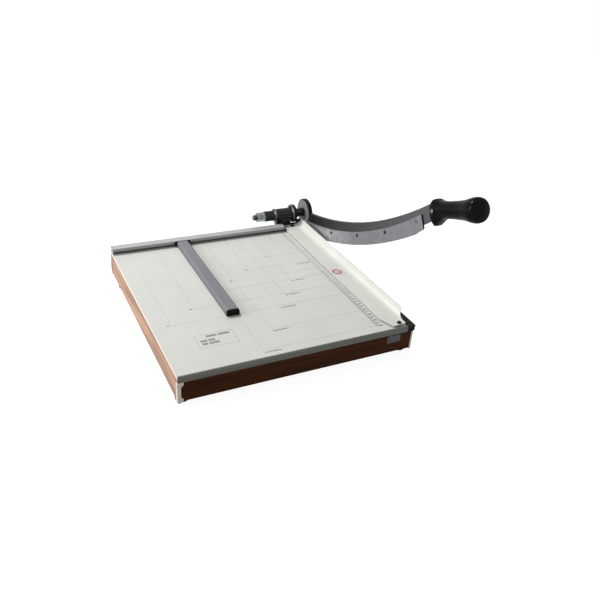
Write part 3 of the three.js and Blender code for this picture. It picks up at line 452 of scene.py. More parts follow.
# Black phenolic of the handle: near black and polished by the palm, so a lamp shows as one soft spot.
PHENOLIC = Finish(
    "polished_black_phenolic", "07070a", "0a0a0e", 0.3, specular=0.01, coat=0.14, relief_size_mm=12,
    relief_mm=0.015, spread=0.02,
)
# Moulded rubber: matt and dusty.
RUBBER = Finish(
    "moulded_black_rubber", "1a1a1a", "232322", 0.85, ior=1.52, specular=0.3, mottle_mm=5,
    relief_size_mm=0.8, relief_mm=0.03,
)
# Hardened tool steel of the fixed knife: ground across its edge, and browned by oil.
KNIFE_STEEL = Finish(
    "oiled_tool_steel_bar", "171314", "110e0f", 0.45, metallic=0.15, specular=0.08, mottle_mm=18,
    relief_size_mm=0.5, run=Run.ALONG_X,
)
# Hardened blade steel: uneven light grey from the wheel, rubbed to an even, darker grey near the handle,
# with painted shade darkening its end face.
BLADE_STEEL = GroundBlade(
    "ground_blade_steel_shaded_end", "d0ced6", "a6a6ae", 0.36, metallic=1.0, mottle_mm=11, relief_size_mm=0.7,
    spread=0.08,
)
# Spring steel of the hinge's coil: drawn wire, bright under a film of oil.
SPRING_STEEL = Finish("drawn_spring_steel", "9c9ca0", "88888c", 0.3, metallic=1.0, mottle_mm=4)
# Hinge casting: glossy near-black paint over a sand-cast skin, which mirrors the pale guard as a band.
CASTING = Finish(
    "black_paint_on_sand_casting", "0e0e10", "141416", 0.22, specular=0.3, mottle_mm=10, relief_size_mm=2.6,
    relief_mm=0.05,
)
# Blackened steel of the turned hinge parts: oily, with turning marks round the axis.
BLACKENED = Finish(
    "blackened_turned_steel", "29292b", "323234", 0.36, metallic=0.9, mottle_mm=6, relief_size_mm=0.6,
    relief_mm=0.012, run=Run.ROUND_X,
)
# Zinc plate on steel fasteners: bright grey with a slightly cloudy passivated film.
ZINC = Finish(
    "zinc_plated_steel", "989f9a", "7d8580", 0.28, metallic=1.0, mottle_mm=4, relief_size_mm=0.7,
    relief_mm=0.008,
)
# Oiled steel of the washer and the bolt: a darker grey film on the same metal.
OILED = Finish(
    "oiled_steel", "56585a", "424446", 0.3, metallic=1.0, mottle_mm=4, relief_size_mm=0.7, relief_mm=0.008,
    run=Run.ROUND_X,
)
# Black oxide on steel screws: dark, with a low oily shine.
BLACK_OXIDE = Finish(
    "black_oxide_steel", "1a1918", "232120", 0.38, metallic=0.8, mottle_mm=3, relief_size_mm=0.5
)
# Sintered bearing bronze, dark with old oil.
BRONZE = Finish(
    "oiled_bearing_bronze", "3a3024", "2c241a", 0.5, metallic=0.8, mottle_mm=3, relief_size_mm=0.4,
    relief_mm=0.02,
)
# Bare aluminium label plate: brushed along its length, and painted dark blue-grey as shade.
SHADED_PLATE = Finish(
    "aluminium_plate_painted_shade", "4b5058", "424449", 0.5, metallic=0.2, mottle_mm=6, relief_size_mm=0.4,
    relief_mm=0.006, run=Run.ALONG_X,
)
# Enamel of the plain round badge: a rose rim, a pale field, a dark red ring and a pink middle, all satin.
BADGE_ROSE = Finish("rose_badge_enamel", "cfa3a8", "c99ca2", 0.4, mottle_mm=4, relief_mm=0.004)
BADGE_WHITE = Finish("pale_badge_enamel", "e2d6d6", "ddd0d0", 0.4, mottle_mm=4, relief_mm=0.004)
BADGE_RED = Finish("dark_red_badge_enamel", "5f3540", "552f39", 0.4, mottle_mm=4, relief_mm=0.004)
BADGE_PINK = Finish("pink_badge_enamel", "cba9b0", "c4a0a7", 0.4, mottle_mm=4, relief_mm=0.004)


def linked(name: str, data: bpy.types.ID) -> Object:
    """Makes an object of its data and puts it in the scene.

    Args:
        name: The object's name.
        data: Its mesh, curve, camera or light.

    Returns:
        The object.
    """
    made = bpy.data.objects.new(name, data)
    bpy.context.scene.collection.objects.link(made)
    return made


def settled(carrier: Object) -> Mesh:
    """Gives the plain mesh that an object comes to, and removes the object.

    Args:
        carrier: The object, with its modifiers or its text.

    Returns:
        The mesh.
    """
    graph = bpy.context.evaluated_depsgraph_get()
    graph.update()
    made = bpy.data.meshes.new_from_object(carrier.evaluated_get(graph))
    bpy.data.objects.remove(carrier)
    return made


def mesh_of(work: bmesh.types.BMesh, mesh: Mesh | None = None) -> Mesh:
    """Turns finished work into a mesh, and frees the work.

    Args:
        work: The work.
        mesh: The mesh that takes it, where it isn't a new one.

    Returns:
        The mesh.
    """
    taker = bpy.data.meshes.new("work") if mesh is None else mesh
    work.to_mesh(taker)
    work.free()
    return taker


def moved(mesh: Mesh, *steps: Matrix) -> Mesh:
    """Moves a mesh.

    Args:
        mesh: The mesh.
        steps: What moves it, in turn.

    Returns:
        The same mesh.
    """
    for step in steps:
        mesh.transform(step)
    mesh.update()
    return mesh


def joined(meshes: Iterable[Mesh]) -> Mesh:
    """Puts several meshes into one.

    Args:
        meshes: The meshes.

    Returns:
        The new mesh.
    """
    work = bmesh.new()
    for mesh in meshes:
        work.from_mesh(mesh)
    return mesh_of(work)


def block(work: bmesh.types.BMesh, size: Sequence[float], middle: Sequence[float]) -> None:
    """Adds a plain block to some work."""
    place = Matrix.Translation(middle) @ Matrix.Diagonal((*size, 1.0))
    bmesh.ops.create_cube(work, size=1.0, matrix=place)


def soften(piece: Object, width_mm: float) -> bpy.types.Modifier:
    """Softens a piece's edges.

    Args:
        piece: The piece.
        width_mm: Width of the softened edges.

    Returns:
        The modifier that does it.
    """
    bevel = piece.modifiers.new("soft_edges", "BEVEL")
    bevel.width = width_mm * MM
    bevel.segments = BEVEL_STEPS
    return bevel


def finished(mesh: Mesh, name: str, finish: Finish, body: str) -> Object:
    """Makes a piece of a mesh that is already in place, and lets it ride on a body.

    Args:
        mesh: The piece's mesh, in the part's frame.
        name: The piece's name, which the mesh takes too.
        finish: Its finish.
        body: The body that it moves with.

    Returns:
        The piece.
    """
    mesh.name = name
    mesh.materials.clear()
    mesh.materials.append(finish.build())
    piece = linked(name, mesh)
    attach(piece, body)
    return piece


def node_mesh(node: str) -> Mesh:
    """Copies a solid's mesh, merges its loose triangles and makes its flat faces whole.

    Args:
        node: The solid's name.

    Returns:
        The copy.
    """
    mesh = frame["nodes"][node].data.copy()
    work = bmesh.new()
    work.from_mesh(mesh)
    bmesh.ops.remove_doubles(work, verts=work.verts, dist=MERGE_DISTANCE)
    bmesh.ops.dissolve_limit(work, angle_limit=FLAT_ANGLE, verts=work.verts, edges=work.edges)
    return mesh_of(work, mesh)


def dress(node: str, finish: Finish, edge_mm: float = 0.0, crease: float = CREASE) -> Object:
    """Stands a smooth-shaded copy with softened edges in for a solid.

    Args:
        node: The solid's name.
        finish: The finish that the copy takes.
        edge_mm: Width of the softened edges, or 0 for none.
        crease: Angle in degrees past which an edge stays sharp.

    Returns:
        The copy.
    """
    source = frame["nodes"][node]
    mesh = node_mesh(node)
    for polygon in mesh.polygons:
        polygon.use_smooth = True
    mesh.set_sharp_from_angle(angle=math.radians(crease))
    piece = finished(mesh, node + "_skin", finish, source["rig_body"])
    if edge_mm:
        bevel = soften(piece, edge_mm)
        bevel.limit_method = "ANGLE"
        bevel.angle_limit = math.radians(crease)
        bevel.harden_normals = True
    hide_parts(node)
    return piece


def dress_all(nodes: Iterable[str], finish: Finish, edge_mm: float = 0.0, crease: float = CREASE) -> None:
    """Dresses several solids alike."""
    for node in nodes:
        dress(node, finish, edge_mm, crease)


def numbered(stem: str, numbers: Iterable[int]) -> tuple[str, ...]:
    """Gives the names of numbered solids."""
    return tuple(f"{stem}_{i}" for i in numbers)


def new_tree(name: str, sizes: Iterable[str], **others: str) -> tuple[Tree, dict[str, Socket]]:
    """Starts a geometry tree with named inputs.

    Args:
        name: The tree's name.
        sizes: The names of its inputs that take a size.
        others: For each other input's name, the kind of its socket.

    Returns:
        The tree, and its inputs' sockets by name.
    """
    tree = bpy.data.node_groups.new(name, "GeometryNodeTree")
    for label, kind in {"Geometry": "Geometry", **dict.fromkeys(sizes, "Float"), **others}.items():
        tree.interface.new_socket(label, in_out="INPUT", socket_type="NodeSocket" + kind)
    tree.interface.new_socket("Geometry", in_out="OUTPUT", socket_type="NodeSocketGeometry")
    entry = add(tree, "NodeGroupInput")
    return tree, {socket.name: socket for socket in entry.outputs if socket.name}


def cube(tree: Tree, extent: Triple | Socket, middle: Triple | Socket) -> Socket:
    """Gives a block of a size, shifted from zero."""
    plain = add(tree, "GeometryNodeMeshCube", inputs={"Size": extent}).outputs["Mesh"]
    return shifted(tree, plain, middle)


def shifted(tree: Tree, shape: Socket, by: Triple | Socket) -> Socket:
    """Shifts a shape."""
    return add(tree, "GeometryNodeTransform", inputs={"Geometry": shape, "Translation": by}).outputs[0]


def chosen(tree: Tree, kind: str, choice: Socket, otherwise: Socket, shape: Socket) -> Socket:
    """Gives one of two values of a kind: the second where the choice holds."""
    values = {"Switch": choice, "False": otherwise, "True": shape}
    return add(tree, "GeometryNodeSwitch", {"input_type": kind}, values).outputs[0]


def carved(tree: Tree, shape: Socket, tool: Socket) -> Socket:
    """Cuts one shape out of another."""
    shapes = {"Mesh 1": shape, "Mesh 2": tool}
    return add(tree, "GeometryNodeMeshBoolean", {"operation": "DIFFERENCE"}, shapes).outputs["Mesh"]


def together(tree: Tree, *shapes: Socket) -> Socket:
    """Puts several shapes into one.

    Args:
        tree: The tree.
        shapes: The shapes.

    Returns:
        The whole.
    """
    whole = add(tree, "GeometryNodeJoinGeometry")
    for shape in shapes:
        tree.links.new(shape, whole.inputs[0])
    return whole.outputs[0]


def end_tree(tree: Tree, shape: Socket, finish: Finish) -> Tree:
    """Ends a geometry tree: copies at points become real, and all takes the finish.

    Args:
        tree: The tree.
        shape: What it gives.
        finish: The finish.

    Returns:
        The tree.
    """
    real = add(tree, "GeometryNodeRealizeInstances", inputs={0: shape}).outputs[0]
    coat = {"Geometry": real, "Material": finish.build()}
    dressed = add(tree, "GeometryNodeSetMaterial", inputs=coat).outputs[0]
    add(tree, "NodeGroupOutput", inputs={0: dressed})
    return tree


def run_tree(tree: Tree, sizes: dict[str, object], points: Iterable[Sequence[float]] = (ORIGIN,)) -> Mesh:
    """Runs a geometry tree on loose points and gives the plain mesh that it makes.

    Args:
        tree: The tree.
        sizes: Values for its named inputs.
        points: The places that it repeats its shape at.

    Returns:
        The mesh.
    """
    seeds = bpy.data.meshes.new(tree.name + "_points")
    seeds.from_pydata([tuple(point) for point in points], [], [])
    carrier = linked(tree.name + "_carrier", seeds)
    modifier = carrier.modifiers.new(tree.name, "NODES")
    modifier.node_group = tree
    for item in tree.interface.items_tree:
        if item.in_out == "INPUT" and item.name in sizes:
            modifier[item.identifier] = sizes[item.name]
    return settled(carrier)


def lettering(text: str, size: float, place: Vector, thickness: float) -> Mesh:
    """Makes flat, bold, slightly raised lettering that reads from the front.

    Args:
        text: What it says.
        size: Height of the letters' body.
        place: Where the first letter's foot stands.
        thickness: How far it stands proud.

    Returns:
        The mesh, in place.
    """
    curve = bpy.data.curves.new("lettering", "FONT")
    curve.body = text
    curve.size = size
    curve.resolution_u = LETTER_STEPS
    curve.extrude = thickness / 2
    curve.offset = size * BOLD_SHARE
    return moved(settled(linked("lettering", curve)), Matrix.Translation(place))


def screw_tree(name: str, finish: Finish) -> Tree:
    """Builds the tree of a screw with its drive, repeated at each point and pointing up along Z.

    Args:
        name: The tree's name.
        finish: The screws' finish.

    Returns:
        The tree.
    """
    head_sizes = ("Head Radius", "Top Radius", "Head Height", "Drive Width", "Drive Length", "Drive Depth")
    tree, size = new_tree(name, (*head_sizes, "Turn", "Shank Radius", "Shank Length"), Cross="Bool")
    cone = {
        "Vertices": HEAD_SIDES,
        "Radius Top": size["Top Radius"],
        "Radius Bottom": size["Head Radius"],
        "Depth": size["Head Height"],
    }
    head = add(tree, "GeometryNodeMeshCone", inputs=cone).outputs["Mesh"]
    twice = reckon(tree, "MULTIPLY", size["Drive Depth"], 2.0)
    top = vector(tree, 0.0, 0.0, size["Head Height"])
    width, length = size["Drive Width"], size["Drive Length"]
    first = cube(tree, vector(tree, length, width, twice), top)
    second = cube(tree, vector(tree, width, length, twice), top)
    none = add(tree, "GeometryNodeDeleteGeometry", inputs={"Geometry": second}).outputs[0]
    second = chosen(tree, "GEOMETRY", size["Cross"], none, second)
    driven = carved(tree, carved(tree, head, first), second)
    rod = {"Vertices": SHANK_SIDES, "Radius": size["Shank Radius"], "Depth": size["Shank Length"]}
    shank = add(tree, "GeometryNodeMeshCylinder", inputs=rod).outputs["Mesh"]
    down = vector(tree, 0.0, 0.0, reckon(tree, "MULTIPLY", size["Shank Length"], -0.5))
    whole = together(tree, driven, shifted(tree, shank, down))
    index = add(tree, "GeometryNodeInputIndex").outputs[0]
    angle = reckon(tree, "MULTIPLY_ADD", index, size["Turn"], FIRST_TURN)
    copies = {"Points": size["Geometry"], "Instance": whole, "Rotation": vector(tree, 0.0, 0.0, angle)}
    return end_tree(tree, add(tree, "GeometryNodeInstanceOnPoints", inputs=copies).outputs[0], finish)


def tick_tree(finish: Finish) -> Tree:
    """Builds the tree of a ruler's ticks: one a millimetre, longer at each fifth and each tenth.

    Args:
        finish: The ink.

    Returns:
        The tree.
    """
    sizes = ("Pitch", "Width", "Thickness", "Short", "Middle", "Long")
    tree, size = new_tree("ruler_ticks", sizes, Count="Int")
    forwards = vector(tree, 0.0, reckon(tree, "MULTIPLY", size["Pitch"], -1.0))
    row = {"Count": size["Count"], "Offset": forwards}
    line = add(tree, "GeometryNodeMeshLine", inputs=row).outputs["Mesh"]
    index = add(tree, "GeometryNodeInputIndex").outputs[0]
    lengths = size["Short"]
    for every, length in ((5.0, size["Middle"]), (10.0, size["Long"])):
        hit = reckon(tree, "LESS_THAN", reckon(tree, "MODULO", index, every), 0.5)
        lengths = chosen(tree, "FLOAT", hit, lengths, length)
    tick = cube(tree, (1.0, 1.0, 1.0), (-0.5, 0.0, 0.5))
    scale = vector(tree, lengths, size["Width"], size["Thickness"])
    copies = {"Points": line, "Instance": tick, "Scale": scale}
    return end_tree(tree, add(tree, "GeometryNodeInstanceOnPoints", inputs=copies).outputs[0], finish)


def outline_tree(finish: Finish) -> Tree:
    """Builds the tree of one sheet's outline: a line across and a line back, meeting in a corner at zero.

    Args:
        finish: The ink.

    Returns:
        The tree.
    """
    tree, size = new_tree("sheet_outline", ("Across", "Back", "Line", "Thickness"))
    bars = []
    for width, depth in (("Across", "Line"), ("Line", "Back")):
        extent = vector(tree, size[width], size[depth], size["Thickness"])
        middle = reckon_vector(tree, "MULTIPLY", extent, (0.5, 0.5, 0.5)).outputs[0]
        bars.append(cube(tree, extent, middle))
    return end_tree(tree, together(tree, *bars), finish)


def thread_tree(finish: Finish) -> Tree:
    """Builds the tree of a screw thread: a ridge that winds up along Z.

    Args:
        finish: The thread's finish.

    Returns:
        The tree.
    """
    tree, size = new_tree("thread_ridge", ("Turns", "Radius", "Length", "Ridge"))
    coil = {
        "Resolution": THREAD_STEPS,
        "Rotations": size["Turns"],
        "Start Radius": size["Radius"],
        "End Radius": size["Radius"],
        "Height": size["Length"],
    }
    spiral = add(tree, "GeometryNodeCurveSpiral", inputs=coil).outputs["Curve"]
    ring = {"Resolution": RIDGE_SIDES, "Radius": size["Ridge"]}
    profile = add(tree, "GeometryNodeCurvePrimitiveCircle", inputs=ring).outputs["Curve"]
    swept = {"Curve": spiral, "Profile Curve": profile, "Fill Caps": True}
    return end_tree(tree, add(tree, "GeometryNodeCurveToMesh", inputs=swept).outputs[0], finish)


@dataclass
class Screws:
    """A set of like screws that stands in for the plain ones of the solids."""

    name: str
    nodes: tuple[str, ...]
    finish: Finish
    recess: Recess
    head_radius: float
    top_radius: float
    head_height: float
    slot: str
    upright: bool = True
    drive_width: float = 1.1 * MM
    drive_length_share: float = 1.35
    drive_depth_share: float = 0.55
    shank_radius: float = 2.0 * MM
    turn: float = 1.9

    def build(self) -> Object:
        """Builds the screws where the plain ones are, their heads up, or to the left where not upright.

        Returns:
            The piece that holds them all.
        """
        turned = Matrix.Identity(4) if self.upright else Matrix.Rotation(-math.pi / 2, 4, "Y")
        places = []
        for low, high in map(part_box, self.nodes):
            middle = (low + high) / 2
            mouth = (
                Vector((middle.x, middle.y, high.z - self.head_height))
                if self.upright
                else Vector((low.x + self.head_height, middle.y, middle.z))
            )
            places.append(turned.inverted() @ mouth)
            length = (high - low).z if self.upright else (high - low).x
        sizes = {
            "Head Radius": self.head_radius,
            "Top Radius": self.top_radius,
            "Head Height": self.head_height,
            "Drive Width": self.drive_width,
            "Drive Length": self.top_radius * self.drive_length_share,
            "Drive Depth": self.head_height * self.drive_depth_share,
            "Cross": self.recess is Recess.CROSS,
            "Turn": self.turn,
            "Shank Radius": self.shank_radius,
            "Shank Length": length - self.head_height,
        }
        mesh = run_tree(screw_tree(self.name + "_tree", self.finish), sizes, places)
        body = frame["nodes"][self.nodes[0]]["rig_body"]
        piece = finished(moved(mesh, turned), self.name, self.finish, body)
        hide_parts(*self.nodes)
        return piece


@dataclass
class Bed:
    """The wooden frame, the laminated board, the trim, the corner protectors and the feet."""

    plate_size: Triple = (0.028, 0.0008, 0.016)
    plate_right_inset: float = 0.026
    plate_height: float = 0.0287
    plate_edge_mm: float = 0.35

    def plate(self) -> Object:
        """Makes the bare plate on the front rail.

        Returns:
            The plate, with softened corners.
        """
        low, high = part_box("front_rail")
        right = high.x - self.plate_right_inset
        work = bmesh.new()
        block(work, self.plate_size, (right - self.plate_size[0] / 2, low.y, low.z + self.plate_height))
        # The plate's dark blue-grey is painted shade.
        piece = finished(mesh_of(work), "label_plate", SHADED_PLATE, "base")
        soften(piece, self.plate_edge_mm)
        return piece

    def build(self) -> None:
        """Dresses the frame and its battens, the board, the trim, the protectors and the feet."""
        # The front and rear rails take the hardwood with painted shade, the side rails the same hardwood
        # with painted light.
        dress_all(("front_rail", "rear_rail"), SHADED_HARDWOOD, edge_mm=0.7)
        dress_all(("left_rail", "right_rail"), LIT_HARDWOOD, edge_mm=0.7)
        dress_all(("cross_batten_front", "cross_batten_rear"), BATTEN, edge_mm=0.5)
        dress("top_panel", LAMINATE, edge_mm=0.25)
        dress("front_trim", TRIM, edge_mm=0.2)
        dress_all((f"corner_{place}" for place in PLACES), CREAM_ABS, edge_mm=0.3, crease=40)
        dress_all((f"foot_{place}" for place in PLACES), RUBBER, edge_mm=0.6, crease=40)
        self.plate()


@dataclass
class BedPrint:
    """What is printed on the bed: sheet outlines, their names, a blank box and a ruler.

    The box's sides are given by their distance from the cut and from the fence. Its rows are blocks, each
    with a start, an end and a height as shares of the box.
    """

    line: float = 0.5 * MM
    thickness: float = 0.06 * MM
    thickness_step: float = 0.08
    letter_thickness: float = 0.12 * MM
    past_guard: float = 0.01
    short_of_fence: float = 0.001
    label_size: float = 4.8 * MM
    label_drop: float = 8.5 * MM
    label_aside: float = 1.75
    box_left: float = 0.3935
    box_right: float = 0.3245
    box_front: float = 0.3805
    box_back: float = 0.3415
    row_height: float = 6.2 * MM
    rows: tuple[Triple, ...] = (
        (0.28, 0.56, 0.75),
        (0.6, 0.9, 0.75),
        (0.08, 0.26, 0.44),
        (0.29, 0.46, 0.44),
        (0.1, 0.24, 0.21),
        (0.27, 0.54, 0.21),
    )
    ruler_inset: float = 67.5 * MM
    ruler_start: float = 1 * MM
    ruler_length: int = 42
    tick_pitch: float = 1 * MM
    tick_width: float = 0.42 * MM
    tick_lengths: Triple = (3 * MM, 5 * MM, 8 * MM)
    numeral_size: float = 7.0 * MM
    numeral_gap: float = 0.8 * MM
    numeral_drop: float = 0.35
    sheets: tuple[tuple[str, int, int], ...] = (
        ("A3", 297, 420),
        ("B4", 257, 364),
        ("A4", 210, 297),
        ("B5", 182, 257),
        ("A5", 148, 210),
        ("A6", 105, 148),
    )

    def __post_init__(self) -> None:
        """Finds the cut's edge, the fence's face, the bed's level and the guard's left side."""
        self.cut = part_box("bed_knife")[1].x
        self.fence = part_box("fence")[0].y
        self.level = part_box("top_panel")[1].z
        self.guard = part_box("guard")[0].x

    def outlines(self) -> Object:
        """Prints each sheet's outline upright and on its side, each a little thicker than the last.

        Returns:
            The lines, as one piece.
        """
        tree = outline_tree(FAINT_INK)
        meshes = []
        for _, short, long in self.sheets:
            for across, back in ((short, long), (long, short)):
                corner = Vector((self.cut - across * MM, self.fence - back * MM, self.level))
                sizes = {
                    "Across": self.guard - corner.x + self.past_guard,
                    "Back": back * MM - self.short_of_fence,
                    "Line": self.line,
                    "Thickness": self.thickness * (1 + self.thickness_step * len(meshes)),
                }
                meshes.append(moved(run_tree(tree, sizes), Matrix.Translation(corner)))
        return finished(joined(meshes), "sheet_outlines", FAINT_INK, "base")

    def names(self) -> Object:
        """Prints each outline's name at its corner, in full on the upright ones.

        Returns:
            The lettering, as one piece.
        """
        meshes = []
        for name, short, long in self.sheets:
            upright = Vector((self.cut - short * MM, self.fence - long * MM - self.label_drop, self.level))
            left = self.cut - long * MM - self.label_aside * self.label_size
            aside = Vector((left, self.fence - short * MM, self.level))
            for text, place in ((f"{name} {short}x{long}mm", upright), (name, aside)):
                meshes.append(lettering(text, self.label_size, place, self.letter_thickness))
        return finished(joined(meshes), "sheet_names", INK, "base")

    def blank_box(self) -> Object:
        """Prints the blank box near the front, with three rows of plain blocks.

        Returns:
            The box and its rows, as one piece.
        """
        left, right = self.cut - self.box_left, self.cut - self.box_right
        low, high = self.fence - self.box_front, self.fence - self.box_back
        bars = [
            (left, low, right, low + self.line),
            (left, high, right, high + self.line),
            (left, low, left + self.line, high),
            (right, low, right + self.line, high + self.line),
        ]
        for start, end, height in self.rows:
            y = low + (high - low) * height
            bars.append((left + (right - left) * start, y, left + (right - left) * end, y + self.row_height))
        work = bmesh.new()
        for x0, y0, x1, y1 in bars:
            middle = ((x0 + x1) / 2, (y0 + y1) / 2, self.level + self.thickness / 2)
            block(work, (x1 - x0, y1 - y0, self.thickness), middle)
        return finished(mesh_of(work), "blank_box", WORN_INK, "base")

    def ruler(self) -> None:
        """Prints the ruler: ticks from the fence forwards, and the centimetres beside them."""
        start = Vector((self.cut - self.ruler_inset, self.fence - self.ruler_start, self.level))
        sizes = {
            "Count": self.ruler_length * 10 + 1,
            "Pitch": self.tick_pitch,
            "Width": self.tick_width,
            "Thickness": self.thickness,
            **dict(zip(("Short", "Middle", "Long"), self.tick_lengths)),
        }
        ticks = moved(run_tree(tick_tree(RULER_INK), sizes), Matrix.Translation(start))
        finished(ticks, "ruler_ticks", RULER_INK, "base")
        numerals = []
        for number in range(1, self.ruler_length + 1):
            forwards = number * 10 * MM + self.numeral_drop * self.numeral_size
            place = start + Vector((self.numeral_gap, -forwards, 0.0))
            numerals.append(lettering(str(number), self.numeral_size, place, self.letter_thickness))
        finished(joined(numerals), "ruler_numerals", RULER_INK, "base")

    def build(self) -> None:
        """Prints everything."""
        self.outlines()
        self.names()
        self.blank_box()
        self.ruler()


@dataclass
class FixedKnife:
    """The steel bar along the cut."""

    def build(self) -> None:
        """Dresses the bar and sets its screws."""
        dress("bed_knife", KNIFE_STEEL, edge_mm=0.15)
        Screws(
            name="knife_screws",
            nodes=numbered("knife_screw", (1, 2, 3, 4)),
            finish=BLACK_OXIDE,
            recess=Recess.CROSS,
            head_radius=3.4 * MM,
            top_radius=4.0 * MM,
            head_height=2.2 * MM,
            slot="black_screw",
        ).build()


GROOVE_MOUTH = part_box("fence")[0].z + 7.8 * MM
GROOVE_LIP_DROP = 2.6 * MM
NECK_BELOW_MOUTH = 0.3 * MM
SAME_LEVEL = 0.05 * MM


def lower_edge(piece: Object, level: float, drop: float) -> None:
    """Lowers the edges of a piece that run at one height, and leaves the rest.

    Args:
        piece: The piece.
        level: The height of the edges.
        drop: How far they go down.
    """
    for vertex in piece.data.vertices:
        if abs(vertex.co.z - level) < SAME_LEVEL:
            vertex.co.z -= drop
    piece.data.update()


@dataclass
class Fence:
    """The extruded fence and its caps."""

    def build(self) -> None:
        """Dresses the fence, its caps and its screws, and brings the groove's upper lip further down."""
        lower_edge(dress("fence", EXTRUSION_X, edge_mm=0.2), GROOVE_MOUTH, GROOVE_LIP_DROP)
        dress("fence_cap_left", EXTRUSION_X, edge_mm=0.3)
        dress("fence_cap_right", BLACK_ABS, edge_mm=0.3)
        dress_all(numbered("fence_screw", (1, 2, 3)), ZINC)


@dataclass
class PaperStop:
    """The bar that slides along the fence."""

    def build(self) -> None:
        """Dresses the bar, its cap and its slider, whose neck is as low as the groove's mouth."""
        dress("stop_bar", EXTRUSION_Y, edge_mm=0.25)
        dress("stop_cap", BLACK_ABS, edge_mm=0.4)
        slider = dress("stop_slider", BLACK_ABS, edge_mm=0.2)
        lower_edge(slider, GROOVE_MOUTH - NECK_BELOW_MOUTH, GROOVE_LIP_DROP)


@dataclass
class Guard:
    """The formed guard along the cut, with its screws and its round badge.

    Each of the badge's rings has a finish, a radius and a height, both in millimetres.
    """

    badge_offset: Triple = (0.4106, 0.2232, 0.0)
    badge_level: float = 2.0 * MM
    badge_sides: int = 64
    badge_slope: float = 0.2
    badge_rings: tuple[tuple[Finish, float, float], ...] = (
        (BADGE_ROSE, 13.2, 0.25),
        (BADGE_WHITE, 12.6, 0.3),
        (BADGE_RED, 10.4, 0.35),
        (BADGE_PINK, 7.8, 0.4),
    )

    def badge(self) -> list[Object]:
        """Makes the plain round badge on the guard's flat: a rim, a field, a ring and a middle.

        Returns:
            The badge's discs, from the rim inwards.
        """
        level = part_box("guard")[0].z + self.badge_level
        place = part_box("front_rail")[0] + Vector(self.badge_offset)
        discs = []
        for finish, radius, height in self.badge_rings:
            work = bmesh.new()
            bmesh.ops.create_cone(
                work,
                cap_ends=True,
                segments=self.badge_sides,
                radius1=radius * MM,
                radius2=(radius - self.badge_slope) * MM,
                depth=height * MM,
                matrix=Matrix.Translation((place.x, place.y, level + height * MM / 2)),
            )
            discs.append(finished(mesh_of(work), finish.name, finish, "base"))
        return discs

    def build(self) -> None:
        """Dresses the guard and adds its fasteners and badge."""
        dress("guard", POWDER_COAT, edge_mm=0.3)
        dress_all((f"guard_spacer_{end}" for end in ENDS), ZINC, edge_mm=0.2)
        Screws(
            name="guard_screws",
            nodes=tuple(f"guard_screw_{end}" for end in ENDS),
            finish=BLACK_OXIDE,
            recess=Recess.CROSS,
            head_radius=4.2 * MM,
            top_radius=3.3 * MM,
            head_height=2.6 * MM,
            slot="black_screw",
        ).build()
        self.badge()


@dataclass
class Hinge:
    """The casting behind the bed and what is strung on the hinge bolt.

    The thread starts inside the bolt's end and stops short of the lock nut. The collar's turned band is
    measured from its left side, and the washer's painted highlight from its right side.
    """

    thread_pitch: float = 1.75 * MM
    thread_start: float = 1.2 * MM
    thread_short: float = 1.6 * MM
    thread_radius: float = 5.9 * MM
    thread_ridge: float = 0.65 * MM
    collar_band: tuple[float, float] = (1.6 * MM, 4.2 * MM)
    washer_band: tuple[float, float] = (2.3 * MM, 1.2 * MM)

    def thread(self) -> Object:
        """Winds the thread on the bolt's free end.

        Returns:
            The thread's ridge.
        """
        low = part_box("hinge_bolt")[0]
        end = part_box("lock_nut")[0].x
        middle = sum(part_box("spring_cup"), Vector()) / 2
        length = end - low.x - self.thread_short
        sizes = {
            "Turns": length / self.thread_pitch,
            "Radius": self.thread_radius,
            "Length": length,
            "Ridge": self.thread_ridge,
        }
        place = Matrix.Translation((low.x + self.thread_start, middle.y, middle.z))
        ridge = moved(run_tree(thread_tree(OILED), sizes), Matrix.Rotation(math.pi / 2, 4, "Y"), place)
        return finished(ridge, "hinge_bolt_thread", OILED, "arm")

    def collar_finish(self) -> PartlyMachined:
        """Gives the collar's finish: blackened steel with its chamfer turned bright."""
        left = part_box("thrust_collar")[0].x
        return PartlyMachined(
            "blackened_steel_collar", "1c1c1f", "252528", 0.3, metallic=0.9, mottle_mm=6, relief_size_mm=0.6,
            relief_mm=0.012, run=Run.ROUND_X, bright="56575a", bright_from=left + self.collar_band[0],
            bright_to=left + self.collar_band[1],
        )

    def washer_finish(self) -> PartlyMachined:
        """Gives the washer's finish: oiled steel with a painted highlight as a bright band round its rim."""
        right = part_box("thrust_washer")[1].x
        return PartlyMachined(
            "oiled_steel_washer_painted_highlight", OILED.colour, OILED.tint, OILED.roughness, metallic=1.0, mottle_mm=4,
            # The washer's bright band is a painted highlight.
            relief_size_mm=0.6, run=Run.ROUND_X, bright="66686a", bright_from=right - self.washer_band[0],
            bright_to=right - self.washer_band[1],
        )

    def build(self) -> None:
        """Dresses the hinge from the casting out to the lock nut."""
        dress("hinge_bracket", CASTING, edge_mm=0.9, crease=35)
        dress_all(numbered("bracket_bolt", (1, 2, 3, 4)), ZINC, edge_mm=0.4)
        dress("hinge_bush", BRONZE)
        dress("thrust_collar", self.collar_finish(), edge_mm=0.2)
        dress("spacer_sleeve", BLACKENED, edge_mm=0.2)
        dress("thrust_washer", self.washer_finish(), edge_mm=0.2)
        dress("spring_cup", BLACKENED, edge_mm=0.4)
        dress("hinge_spring", SPRING_STEEL, crease=60)
        dress_all(("hinge_nut", "lock_nut"), ZINC, edge_mm=0.2, crease=20)
        dress("hinge_bolt", OILED, edge_mm=0.2)
        self.thread()


